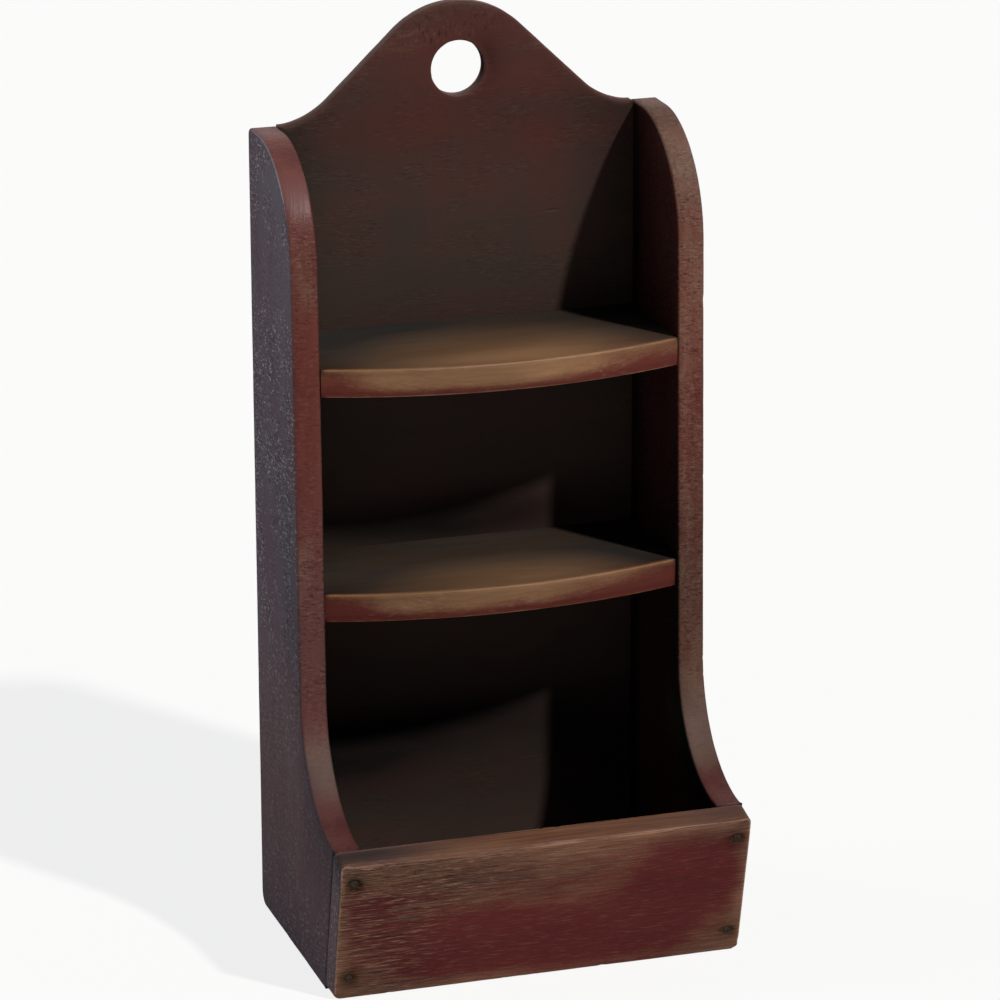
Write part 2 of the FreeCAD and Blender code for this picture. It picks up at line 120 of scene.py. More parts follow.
def ripple(points: np.ndarray, seed: int, octaves: int = 2) -> np.ndarray:
    """Smooth unevenness over space.

    Args:
        points: places, already divided by the size of the unevenness.
        seed: which unevenness to use.
        octaves: how many finer layers are added up.

    Returns:
        One number from about -1 to 1 for each place.
    """
    total = np.zeros(len(points))
    weight = 1.0
    for octave in range(octaves):
        spots = points * 2.0 ** octave
        cell = np.floor(spots).astype(np.int64)
        part = spots - cell
        part = part * part * (3.0 - 2.0 * part)
        layer = np.zeros(len(points))
        for corner in range(8):
            step = np.array([corner & 1, corner >> 1 & 1, corner >> 2])
            share = np.prod(np.where(step == 1, part, 1.0 - part), axis=1)
            layer += share * lattice(cell + step, seed + 31 * octave)
        total += weight * (2.0 * layer - 1.0)
        weight *= 0.5
    return total / (2.0 - 2.0 * weight)


@dataclass(frozen=True)
class Rim:
    """How a stretch of a board's edge has fared, in millimetres.

    low and high are the arris radii toward the board's two faces, waver is how far the edge has
    worn back unevenly, and rub is how much paint its arrises have lost, from 0 to 1.
    """

    low: float
    high: float
    waver: float
    rub: float


class Fare(Enum):
    """The kinds of edge that the boards have."""

    JOINT = Rim(0.3, 0.3, 0.0, 0.0)
    HANDLED = Rim(1.2, 1.2, 0.5, 1.0)
    PAINTED = Rim(1.2, 1.2, 0.5, 0.95)
    SAWN = Rim(0.7, 0.7, 0.25, 0.6)


JOINT, HANDLED, PAINTED, SAWN = (fare.value for fare in Fare)


@dataclass(frozen=True)
class Turn:
    """A corner of an outline: place, rounding radius, and the rim of the stretch after it."""

    x: float
    y: float
    radius: float
    rim: Rim


def sweep(centre: Spot2, radius: float, start: float, end: float, rim: Rim,
          count: int = 48) -> list[Turn]:
    """Walk along an arc.

    Args:
        centre: the arc's centre.
        radius: the arc's radius.
        start: first angle in degrees.
        end: last angle in degrees; less than start walks clockwise.
        rim: how this stretch has fared.
        count: number of steps.

    Returns:
        Smooth turns from the first end to the last, both included.
    """
    angles = np.radians(np.linspace(start, end, count + 1))
    return [Turn(centre[0] + radius * math.cos(a), centre[1] + radius * math.sin(a), 0.0, rim)
            for a in angles]


def trace(turns: list[Turn], step: float) -> tuple[np.ndarray, np.ndarray]:
    """Round the corners of a closed outline and divide its straight stretches.

    Args:
        turns: the outline's corners in order.
        step: longest distance between two points.

    Returns:
        Points in the plane, and low, high, waver, rub and the most that may be worn away at each.
    """
    places = np.array([(turn.x, turn.y) for turn in turns])
    rims = np.array([astuple(turn.rim) for turn in turns])
    sharp, points, values = [], [], []
    for index, turn in enumerate(turns):
        here, rim, before = places[index], rims[index], rims[index - 1]
        if turn.radius > 0.0:
            sharp.append((here, turn.radius))
            back = places[index - 1] - here
            ahead = places[(index + 1) % len(turns)] - here
            back, ahead = back / np.linalg.norm(back), ahead / np.linalg.norm(ahead)
            half = 0.5 * math.acos(float(np.clip(back @ ahead, -1.0, 1.0)))
            middle = (back + ahead) / np.linalg.norm(back + ahead)
            centre = here + middle * turn.radius / math.sin(half)
            first = here + back * turn.radius / math.tan(half) - centre
            last = here + ahead * turn.radius / math.tan(half) - centre
            sector = (math.pi / 2 - half) * 2
            count = max(4, int(turn.radius / step * 2) + 3)
            for share in np.linspace(0.0, 1.0, count + 1):
                blend = first * math.sin((1 - share) * sector) + last * math.sin(share * sector)
                points.append(centre + blend / math.sin(sector))
                values.append(before * (1 - share) + rim * share)
        else:
            points.append(here)
            values.append(rim)
    places, rims = np.array(points), np.array(values)
    points, values = [], []
    for index, here in enumerate(places):
        ahead = places[(index + 1) % len(places)]
        count = max(1, math.ceil(np.linalg.norm(ahead - here) / step))
        for part in range(count):
            points.append(here + (ahead - here) * part / count)
            values.append(rims[index])
    points, values = np.array(points), np.array(values)
    for _ in range(2):
        values = (np.roll(values, 1, 0) + values + np.roll(values, -1, 0)) / 3.0
    most = np.full(len(points), MOST_WORN)
    for here, radius in sharp:
        # A corner can lose less than its rounding, and more the farther a point is from it.
        beyond = np.maximum(np.linalg.norm(points - here, axis=1) - radius, 0.0)
        most = np.minimum(most, 0.8 * radius + 0.55 * beyond)
    return points, np.column_stack([values, most])


def inward(points: np.ndarray) -> np.ndarray:
    """Directions into the wood at each point of an outline, longer where its corners are sharp.

    Args:
        points: the outline's points, anticlockwise.

    Returns:
        A direction for each point.
    """
    ahead = np.roll(points, -1, 0) - points
    ahead /= np.linalg.norm(ahead, axis=1)[:, None]
    both = ahead + np.roll(ahead, 1, 0)
    left = np.stack([-both[:, 1], both[:, 0]], axis=1)
    left /= np.linalg.norm(left, axis=1)[:, None]
    lean = np.sum(left * np.stack([-ahead[:, 1], ahead[:, 0]], axis=1), axis=1)
    return left / np.clip(lean, 0.6, 1.0)[:, None]


def inside(spots: np.ndarray, loop: np.ndarray) -> np.ndarray:
    """Tell which spots lie inside a closed loop.

    Args:
        spots: places in the loop's plane.
        loop: the loop's points.

    Returns:
        True for each spot inside.
    """
    ahead = np.roll(loop, -1, 0)
    x, y = spots[:, 0][:, None], spots[:, 1][:, None]
    rise = np.where(ahead[:, 1] == loop[:, 1], 1.0e-12, ahead[:, 1] - loop[:, 1])
    crosses = (loop[:, 1] > y) != (ahead[:, 1] > y)
    cut = (ahead[:, 0] - loop[:, 0]) * (y - loop[:, 1]) / rise + loop[:, 0]
    return np.sum(crosses & (x < cut), axis=1) % 2 == 1


def gap_to(spots: np.ndarray, targets: np.ndarray, extra: np.ndarray | float = 0.0) -> np.ndarray:
    """Distance from each spot to the nearest target, with an extra distance given to each target.

    Args:
        spots: places to measure from.
        targets: places to measure to.
        extra: what is added to each target's distance.

    Returns:
        A distance for each spot.
    """
    nearest = []
    for block in np.array_split(spots, max(1, len(spots) // 1500)):
        away = np.linalg.norm(block[:, None, :] - targets[None, :, :], axis=2)
        nearest.append((away + extra).min(axis=1))
    return np.concatenate(nearest)


@dataclass
class Quality:
    """A quality of a board's surface from 0 to 1: its value where no patch lies, and soft patches.

    Each patch has a centre and a reach in millimetres, and the amount that it adds.
    """

    base: float
    patches: list[tuple[list[float], list[float], float]] = field(default_factory=list)

    def add(self, axis: str, level: float, reach: float, *rows: tuple[float, ...]) -> "Quality":
        """Add patches that share their place and reach along one axis.

        Args:
            axis: x, y or z.
            level: their place along it.
            reach: their reach along it.
            rows: place and reach along the other two axes in order, and amount, for each.

        Returns:
            The same quality, so that more patches can follow.
        """
        for first, second, wide, high, amount in rows:
            centre, span = [first, second], [wide, high]
            centre.insert("xyz".index(axis), level)
            span.insert("xyz".index(axis), reach)
            self.patches.append((centre, span, amount))
        return self

    def at(self, points: np.ndarray) -> np.ndarray:
        """Values at places in millimetres.

        Args:
            points: the places.

        Returns:
            A value from 0 to 1 for each.
        """
        total = np.full(len(points), self.base)
        for centre, reach, amount in self.patches:
            away = (points - np.array(centre)) / np.array(reach)
            total += amount * np.exp(-np.sum(away * away, axis=1))
        return np.clip(total, 0.0, 1.0)


@dataclass
class Dent:
    """A place where the wood has gone in: centre in the board's own plane, reach and depth.

    flat is the share of the reach over which its bottom is level.
    """

    centre: Spot2
    reach: Spot2
    depth: float
    on_high: bool = True
    flat: float = 0.0

    def away(self, plane: np.ndarray) -> np.ndarray:
        """Distance from the centre at places in the board's plane, 1 at the reach."""
        return np.linalg.norm((plane - np.array(self.centre)) / np.array(self.reach), axis=1)

    def sink(self, plane: np.ndarray) -> np.ndarray:
        """Depth of the dent at places in the board's plane."""
        slope = np.clip((1.0 - self.away(plane)) / max(1.0 - self.flat, 1.0e-6), 0.0, 1.0)
        return self.depth * slope * slope * (3.0 - 2.0 * slope)

    def rings(self) -> list[np.ndarray]:
        """Rings of points round the centre, close where the dent is steep.

        Returns:
            The points of each ring, in the board's plane.
        """
        turns = np.radians(np.arange(0.0, 360.0, 20.0))
        circle = np.stack([np.cos(turns), np.sin(turns)], 1)
        return [circle * share * np.array(self.reach) + np.array(self.centre) for share in DENT_RINGS]


def link_mesh(name: str, points: np.ndarray, faces: list) -> bpy.types.Object:
    """Make a smooth mesh and put it in the scene.

    Args:
        name: the object's name.
        points: places in millimetres.
        faces: numbers of each face's points.

    Returns:
        The new object.
    """
    mesh = bpy.data.meshes.new(name)
    mesh.from_pydata((points * MM).tolist(), [], faces)
    mesh.validate()
    mesh.shade_smooth()
    thing = bpy.data.objects.new(name, mesh)
    bpy.context.scene.collection.objects.link(thing)
    return thing


@dataclass
class Board:
    """One worn board, meshed from its outline.

    The outline lies in the plane of the first two axes, and the third axis runs through the
    thickness from the low face to the high face. Grain says which world directions the wood's
    fibres, its width and its depth follow. Swell, ridge and ridge_gap are the depth of the
    waves, and the depth and width of the raised grain, in millimetres. Looks are its qualities.
    """

    name: str
    turns: list[Turn]
    thick: float
    corner: Spot3
    axes: tuple[Spot3, Spot3, Spot3]
    grain: tuple[Spot3, Spot3, Spot3]
    seed: int
    looks: dict[str, Quality]
    holes: list[list[Turn]] = field(default_factory=list)
    step: float = 1.6
    pitch: Spot2 = (6.0, 2.5)
    dents: list[Dent] = field(default_factory=list)
    swell: float = 0.22
    ridge: float = 0.05
    ridge_gap: float = 5.0
    shear: Callable[[np.ndarray], np.ndarray] | None = None
    arris_steps: int = 4

    def world(self, local: np.ndarray) -> np.ndarray:
        """Turn the board's own places into places in the room, in millimetres."""
        placed = self.shear(local) if self.shear else local
        return np.array(self.corner) + placed @ np.array(self.axes)

    def hollow(self, local: np.ndarray, high: bool) -> np.ndarray:
        """How far a face has sunk, from uneven drying, raised grain and dents.

        Args:
            local: places on the board.
            high: whether the high face is meant.

        Returns:
            A depth in millimetres for each place.
        """
        along = (np.array(self.grain) @ self.world(local).T).T
        broad = ripple(along / WAVES, self.seed)
        finer = ripple(along / (FINE_WAVES, self.ridge_gap, self.ridge_gap), self.seed + 5)
        total = self.swell * (0.5 + 0.5 * broad) + self.ridge * (0.5 + 0.5 * finer)
        for dent in self.dents:
            if dent.on_high == high:
                total = total + dent.sink(local[:, :2])
        return total

    def rings(self, loop: np.ndarray, rims: np.ndarray, salt: int) -> tuple[np.ndarray, np.ndarray]:
        """Stack rings of points from the low face over the edge to the high face.

        Args:
            loop: the outline's points.
            rims: low, high, waver, rub and the most that may be worn away at each point.
            salt: which unevenness this loop has.

        Returns:
            Places with one row of points for each ring, and each point's distance to a worn arris.
        """
        low, high, waver, rub, most = rims.T
        place = self.world(np.column_stack([loop, np.zeros(len(loop))]))
        wear = 0.5 + 0.5 * ripple(place / EDGE_WAVES, self.seed + salt, 3)
        uneven = 1.0 + waver * (0.5 + 0.5 * ripple(place / ROUND_WAVES, self.seed + salt + 3, 2))
        nick = np.clip(ripple(place / NICKS, self.seed + salt + 9, 1) - 0.62, 0.0, 1.0) * 3.2 * rub
        low = np.where(rub > 0.3, low * uneven + nick, low)
        high = np.where(rub > 0.3, high * uneven + np.roll(nick, 7), high)
        waver = np.minimum(waver * (0.1 + 0.9 * wear * wear), most * 0.3)
        limit = np.minimum(self.thick * 0.45, most - waver)
        low, high = np.minimum(low, limit), np.minimum(high, limit)
        rows, away = [], []
        quarter = np.radians(np.linspace(0.0, 90.0, self.arris_steps + 1))
        for angle in quarter:
            rows.append((low * (1 - math.sin(angle)), low * (1 - math.cos(angle))))
            away.append(np.abs(angle - math.pi / 4) * low)
        for share in np.linspace(0.0, 1.0, max(2, round(self.thick / 4.0)) + 1)[1:-1]:
            level = low + (self.thick - high - low) * share
            rows.append((np.zeros(len(loop)), level))
            away.append(np.minimum(level, self.thick - level))
        for angle in quarter[::-1]:
            rows.append((high * (1 - math.sin(angle)), self.thick - high * (1 - math.cos(angle))))
            away.append(np.abs(angle - math.pi / 4) * high)
        into = inward(loop)
        layers = [np.column_stack([loop + into * (inset + waver)[:, None], level]) for inset, level in rows]
        return np.array(layers), np.array(away) + (1.0 - rub) * UNWORN

    def fill(self, loops: tuple[np.ndarray, ...], high: bool) -> tuple[np.ndarray, list]:
        """Fill a face with triangles between its rings.

        Args:
            loops: the face's innermost rings, the board's own first and then its holes'.
            high: whether this is the high face.

        Returns:
            New points in the board's plane, and triangles that number the rings' points first.
        """
        def on_wood(spots: np.ndarray) -> np.ndarray:
            """Tell which spots lie on the face and in none of its holes.

            Args:
                spots: places in the board's plane.

            Returns:
                True for each spot on the wood.
            """
            kept = inside(spots, loops[0])
            for loop in loops[1:]:
                kept &= ~inside(spots, loop)
            return kept

        lengthwise = 0 if abs(np.dot(self.grain[0], self.axes[0])) > 0.7 else 1
        long, wide = self.pitch
        pitch = np.array([wide, wide])
        pitch[lengthwise] = long
        start, end = loops[0].min(0), loops[0].max(0)
        lines = [np.arange(start[a] + pitch[a] * 0.5, end[a], pitch[a]) for a in range(2)]
        grid = np.stack(np.meshgrid(*lines, indexing="ij"), axis=-1).reshape(-1, 2)
        shift = np.column_stack([grid / pitch.min(), np.full(len(grid), float(high))])
        shift = np.stack([ripple(shift, self.seed + salt, 1) for salt in (71, 72)], 1)
        grid = grid + 0.22 * pitch * shift
        for dent in self.dents:
            if dent.on_high == high and max(dent.reach) < SMALL_DENT:
                grid = np.concatenate([grid[dent.away(grid) > 1.25]] + dent.rings())
        grid = grid[on_wood(grid)]
        every = np.concatenate(loops)
        grid = grid[gap_to(grid, every) > wide * 0.45]
        squeeze = np.ones(2)
        squeeze[lengthwise] = wide / long
        spots = np.concatenate([every, grid]) * squeeze
        edges = []
        for loop in loops:
            first, count = len(edges), len(loop)
            edges += [(first + i, first + (i + 1) % count) for i in range(count)]
        result = delaunay_2d_cdt([Vector(spot) for spot in spots], edges, [], 1, 1.0e-7, True)
        if len(result[0]) != len(spots):
            raise RuntimeError(f"{self.name}: the outline crosses itself")
        source = [numbers[0] for numbers in result[3]]
        triangles = [tuple(source[i] for i in face) for face in result[2]]
        middles = np.array([np.mean([spots[i] for i in face], axis=0) for face in triangles]) / squeeze
        return grid, [face for face, kept in zip(triangles, on_wood(middles)) if kept]

    def build(self) -> bpy.types.Object:
        """Mesh the board and note on its points what the paint needs to know.

        Returns:
            The board's object, with its place in its mesh.
        """
        places, faces, away, outline, guard = [], [], [], [], []
        sides = {False: [], True: []}
        start = 0
        for salt, turns in enumerate([self.turns] + self.holes):
            loop, rims = trace(turns, self.step)
            layers, reach = self.rings(loop, rims, 100 * salt)
            numbers = start + np.arange(reach.size).reshape(reach.shape)
            ahead = np.roll(numbers, -1, 1)
            quads = np.stack([numbers[:-1], ahead[:-1], ahead[1:], numbers[1:]], axis=-1)
            faces += quads.reshape(-1, 4).tolist()
            places.append(layers.reshape(-1, 3))
            away.append(reach.reshape(-1))
            sides[False].append((layers[0, :, :2], numbers[0]))
            sides[True].append((layers[-1, :, :2], numbers[-1]))
            outline.append(loop)
            guard.append((1.0 - rims[:, 3]) * UNWORN)
            start += reach.size
        for high, side in sides.items():
            loops, numbers = zip(*side)
            grid, triangles = self.fill(loops, high)
            renumber = np.concatenate([*numbers, start + np.arange(len(grid))])
            faces += [renumber[list(face if high else face[::-1])].tolist() for face in triangles]
            places.append(np.column_stack([grid, np.full(len(grid), self.thick if high else 0.0)]))
            away.append(gap_to(grid, np.concatenate(outline), np.concatenate(guard)))
            start += len(grid)
        local = np.concatenate(places)
        over = np.clip((local[:, 2] - (self.thick - SILL)) / SILL, 0.0, 1.0)
        under = np.clip((SILL - local[:, 2]) / SILL, 0.0, 1.0)
        local[:, 2] += self.hollow(local, False) * under - self.hollow(local, True) * over
        room = self.world(local)
        piece = link_mesh(self.name, room, faces)
        self.note(piece.data, room, np.concatenate(away))
        return piece

    def note(self, mesh: bpy.types.Mesh, room: np.ndarray, away: np.ndarray) -> None:
        """Write the grain, the distance to worn arrises and the qualities on the mesh's points.

        Args:
            mesh: the board's mesh.
            room: places of its points in millimetres.
            away: distance of each point to the nearest worn arris in millimetres.
        """
        along = (room - (room.min(0) + room.max(0)) / 2) @ np.array(self.grain).T
        along[:, 0] += 610.0 * self.seed
        vectors = mesh.attributes.new("grain", "FLOAT_VECTOR", "POINT")
        vectors.data.foreach_set("vector", (along * MM).astype(np.float32).ravel())
        normals = np.zeros(len(mesh.vertices) * 3, np.float32)
        mesh.vertices.foreach_get("normal", normals)
        ends, through = np.abs(normals.reshape(-1, 3) @ np.array([self.grain[0], self.axes[2]]).T).T
        values = {name: self.looks.get(name, Quality(base)).at(room) for name, base in PLAIN.items()}
        for name, value in (values | {"arris": away * MM, "end": ends, "wall": 1.0 - through}).items():
            scalars = mesh.attributes.new(name, "FLOAT", "POINT")
            scalars.data.foreach_set("value", value.astype(np.float32))


class Kind(Enum):
    """Socket types that the shared groups use."""

    VALUE = "NodeSocketFloat"
    VECTOR = "NodeSocketVector"


class Wiring:
    """Short ways to add and join the nodes of one tree."""

    def __init__(self, tree: bpy.types.NodeTree) -> None:
        """Keep the tree that nodes are added to."""
        self.tree = tree

    def add(self, kind: str, feeds: dict | None = None, **settings: object) -> bpy.types.Node:
        """Add a node.

        Args:
            kind: the node's type, for a shader's own nodes without ShaderNode at its start.
            feeds: sockets that its inputs are joined to, or their own values, by name or number.
            settings: its own settings.

        Returns:
            The new node.
        """
        node = self.tree.nodes.new(kind if kind.startswith("Node") else f"ShaderNode{kind}")
        for name, value in settings.items():
            setattr(node, name, value)
        for name, value in (feeds or {}).items():
            if isinstance(value, bpy.types.NodeSocket):
                self.tree.links.new(value, node.inputs[name])
            else:
                node.inputs[name].default_value = value
        return node

    def math(self, operation: str, *values: object, clamp: bool = False) -> Socket:
        """Work out a sum on plain values."""
        return self.add("Math", dict(enumerate(values)), operation=operation, use_clamp=clamp).outputs[0]

    def times(self, first: object, *others: object, clamp: bool = False) -> Socket:
        """Multiply values, one after another.

        Args:
            first: a value.
            others: what it is multiplied by.
            clamp: whether each product is kept from 0 to 1.

        Returns:
            The product.
        """
        for other in others:
            first = self.math("MULTIPLY", first, other, clamp=clamp)
        return first

    def minus(self, first: object, second: object) -> Socket:
        """Take the second value from the first."""
        return self.math("SUBTRACT", first, second)

    def times_plus(self, first: object, second: object, third: object, clamp: bool = False) -> Socket:
        """Multiply two values and add a third."""
        return self.math("MULTIPLY_ADD", first, second, third, clamp=clamp)

    def noise(self, vector: Socket, finer: object, detail: float = 2.0, roughness: float = 0.5,
              twist: float = 0.0) -> Socket:
        """Uneven values from 0 to 1.

        Args:
            vector: the place.
            finer: how many features there are to a metre along each part of it; None takes it as it is.
            detail: how many finer layers are added.
            roughness: how strong those layers are.
            twist: how much the features curl.

        Returns:
            The values.
        """
        if finer is not None:
            vector = self.add("VectorMath", {0: vector, 1: finer}, operation="MULTIPLY").outputs[0]
        feeds = {"Vector": vector, "Scale": 1.0, "Detail": detail, "Roughness": roughness}
        return self.add("TexNoise", feeds | {"Distortion": twist}).outputs[0]

    def step(self, value: Socket, low: object, high: object, start: float = 0.0,
             end: float = 1.0) -> Socket:
        """Ease a value from start to end as it passes from low to high."""
        feeds = {"Value": value, "From Min": low, "From Max": high, "To Min": start, "To Max": end}
        return self.add("MapRange", feeds, interpolation_type="SMOOTHSTEP").outputs[0]

    def mix(self, share: object, first: object, second: object, blend: str = "MIX") -> Socket:
        """Mix two colours."""
        feeds = {0: share, 6: first, 7: second}
        return self.add("Mix", feeds, data_type="RGBA", blend_type=blend).outputs[2]

    def note(self, name: str, part: str = "Fac") -> Socket:
        """Read what the mesh's points carry under a name."""
        return self.add("Attribute", attribute_name=name, attribute_type="GEOMETRY").outputs[part]

    def take(self, **kinds: Kind) -> SimpleNamespace:
        """Make a shared group's inputs, and give them by name.

        Args:
            kinds: the type of each input.

        Returns:
            Their sockets in the group.
        """
        for name, kind in kinds.items():
            self.tree.interface.new_socket(name=name, in_out="INPUT", socket_type=kind.value)
        sockets = self.add("NodeGroupInput").outputs
        return SimpleNamespace(**{socket.name: socket for socket in sockets if socket.name})

    def give(self, **results: Socket) -> bpy.types.NodeTree:
        """Join a shared group's results to outputs of their names, and give the finished group.

        Args:
            results: the results.

        Returns:
            The group.
        """
        for name in results:
            self.tree.interface.new_socket(name=name, in_out="OUTPUT", socket_type=Kind.VALUE.value)
        self.add("NodeGroupOutput", results)
        return self.tree

    def seen(self) -> Socket:
        """1 where a ray comes from the camera, a gloss or something clear, and 0 elsewhere.

        Returns:
            That value.
        """
        path = self.add("LightPath").outputs
        seen = self.math("MAXIMUM", path["Is Camera Ray"], path["Is Glossy Ray"])
        return self.math("MAXIMUM", seen, path["Is Transmission Ray"])


def fresh_material(name: str) -> tuple[bpy.types.Material, Wiring]:
    """Make an empty material, and the wiring that its nodes are added with.

    Args:
        name: the material's name.

    Returns:
        Both.
    """
    material = bpy.data.materials.new(name)
    material.use_nodes = True
    material.node_tree.nodes.clear()
    return material, Wiring(material.node_tree)


class Effects:
    """The effects that several finishes share, each a node group made once."""

    def __init__(self) -> None:
        """Start with no group made."""
        self.made: dict[str, bpy.types.NodeTree] = {}

    def use(self, w: Wiring, effect: Callable[[Wiring], bpy.types.NodeTree],
            **feeds: object) -> SimpleNamespace:
        """Place a shared group in a material, making the group the first time.

        Args:
            w: the material's wiring.
            effect: what makes the group.
            feeds: what the group's inputs are joined to or set to.

        Returns:
            The group's outputs by name.
        """
        name = effect.__name__
        if name not in self.made:
            self.made[name] = effect(Wiring(bpy.data.node_groups.new(name, "ShaderNodeTree")))
        node = w.add("Group", feeds, node_tree=self.made[name])
        return SimpleNamespace(**{socket.name: socket for socket in node.outputs})


def grain_figure(w: Wiring) -> bpy.types.NodeTree:
    """Growth rings round a pith below the board, with fine fibres and slow changes of tone.

    Args:
        w: the new group's wiring.

    Returns:
        The finished group.
    """
    take = w.take(grain=Kind.VECTOR, ring_spacing=Kind.VALUE, pith_across=Kind.VALUE,
                  pith_depth=Kind.VALUE, wander=Kind.VALUE)
    slow = w.noise(take.grain, (7.0, 16.0, 16.0), 2.0)
    quick = w.noise(take.grain, (26.0, 130.0, 130.0), 3.0, 0.6)
    drift = w.times(w.minus(slow, 0.5), take.wander)
    jog = w.times(w.minus(quick, 0.5), w.times(take.wander, 0.28))
    parts = w.add("SeparateXYZ", {0: take.grain}).outputs
    side = w.math("ADD", w.minus(parts[1], take.pith_across), drift)
    deep = w.math("ADD", w.minus(parts[2], take.pith_depth), jog)
    arm = w.add("CombineXYZ", {0: side, 1: deep}).outputs[0]
    far = w.add("VectorMath", {0: arm}, operation="LENGTH").outputs["Value"]
    count = w.math("DIVIDE", far, take.ring_spacing)
    years = w.add("CombineXYZ", {0: w.times(count, 0.37)}).outputs[0]
    phase = w.math("FRACT", w.times_plus(w.noise(years, None, 2.0), 2.6, count))
    late = w.minus(w.step(phase, 0.3, 0.8), w.step(phase, 0.88, 1.0))
    broken = w.noise(take.grain, (38.0, 420.0, 420.0), 2.0)
    line = w.minus(w.step(phase, 0.72, 0.86), w.step(phase, 0.9, 1.0))
    fibre = w.noise(take.grain, (22.0, 900.0, 900.0), 4.0, 0.62)
    cloud = w.noise(take.grain, (9.0, 34.0, 34.0), 3.0)
    return w.give(late=late, line=w.times(line, w.step(broken, 0.42, 0.6)),
                  fibre=w.step(fibre, 0.25, 0.75), cloud=w.step(cloud, 0.3, 0.7))


def coat_wear(w: Wiring) -> bpy.types.NodeTree:
    """Where paint has gone: off arrises, off raised grain and in handled patches.

    Args:
        w: the new group's wiring.

    Returns:
        The finished group.
    """
    take = w.take(grain=Kind.VECTOR, coat=Kind.VALUE, arris=Kind.VALUE, late=Kind.VALUE, fibre=Kind.VALUE,
                  rub_width=Kind.VALUE, grain_bite=Kind.VALUE, break_up=Kind.VALUE)
    broad = w.noise(take.grain, (45.0, 130.0, 130.0), 4.0, 0.62, 0.4)
    small = w.noise(take.grain, (420.0, 900.0, 900.0), 3.0, 0.6)
    rubbed = w.step(take.arris, 0.0, w.times(take.rub_width, w.step(broad, 0.3, 0.7, 0.35, 1.7)), 1.0, 0.0)
    level = w.minus(take.coat, w.times(rubbed, 0.9))
    level = w.times_plus(w.minus(broad, 0.5), take.break_up, level)
    level = w.times_plus(w.minus(small, 0.5), w.times(take.break_up, 0.6), level)
    level = w.times_plus(w.minus(0.5, take.fibre), take.grain_bite, level)
    level = w.times_plus(w.minus(0.35, take.late), w.times(take.grain_bite, 0.7), level)
    return w.give(bare=w.step(level, 0.12, 0.62, 1.0, 0.0))


def hair_lines(w: Wiring) -> bpy.types.NodeTree:
    """Fine curling scratches, in patches, longest along the axis with the smallest run.

    Args:
        w: the new group's wiring.

    Returns:
        The finished group.
    """
    take = w.take(grain=Kind.VECTOR, run=Kind.VECTOR, width=Kind.VALUE, share=Kind.VALUE)
    near = w.math("ABSOLUTE", w.minus(w.noise(take.grain, take.run, 1.5, 0.5, 0.6), 0.5))
    line = w.step(near, w.times(take.width, 0.35), take.width, 1.0, 0.0)
    patch = w.noise(take.grain, (60.0, 75.0, 75.0), 3.0)
    limit = w.minus(0.75, w.times(take.share, 0.5))
    return w.give(line=w.times(line, w.step(patch, limit, w.math("ADD", limit, 0.12))))


def specks(w: Wiring) -> bpy.types.NodeTree:
    """Separate small spots, of which only a share shows.

    Args:
        w: the new group's wiring.

    Returns:
        The finished group.
    """
    take = w.take(grain=Kind.VECTOR, spacing=Kind.VALUE, size=Kind.VALUE, share=Kind.VALUE)
    scale = w.math("DIVIDE", 1.0, take.spacing)
    cells = w.add("TexVoronoi", {"Vector": take.grain, "Scale": scale}).outputs
    chance = w.add("SeparateXYZ", {0: cells["Color"]}).outputs
    size = w.times(take.size, w.step(chance[1], 0.0, 1.0, 0.5, 1.3))
    spot = w.step(cells["Distance"], w.times(size, 0.5), size, 1.0, 0.0)
    return w.give(spot=w.times(spot, w.math("LESS_THAN", chance[0], take.share)))


def rough_skin(w: Wiring) -> bpy.types.NodeTree:
    """The skin of thick old paint: small marks, high and low, that gather in bands.

    Args:
        w: the new group's wiring.

    Returns:
        The finished group.
    """
    take = w.take(grain=Kind.VECTOR, run=Kind.VECTOR, bands=Kind.VECTOR, share=Kind.VALUE)
    marks = w.noise(take.grain, take.run, 3.0, 0.6, 0.35)
    limit = w.minus(0.72, w.times(take.share, 0.45))
    held = w.step(w.noise(take.grain, take.bands, 4.0, 0.62), limit, w.math("ADD", limit, 0.14))
    return w.give(height=w.times(w.minus(marks, 0.5), held), tip=w.times(w.step(marks, 0.55, 0.66), held),
                  pit=w.times(w.step(marks, 0.34, 0.45, 1.0, 0.0), held))


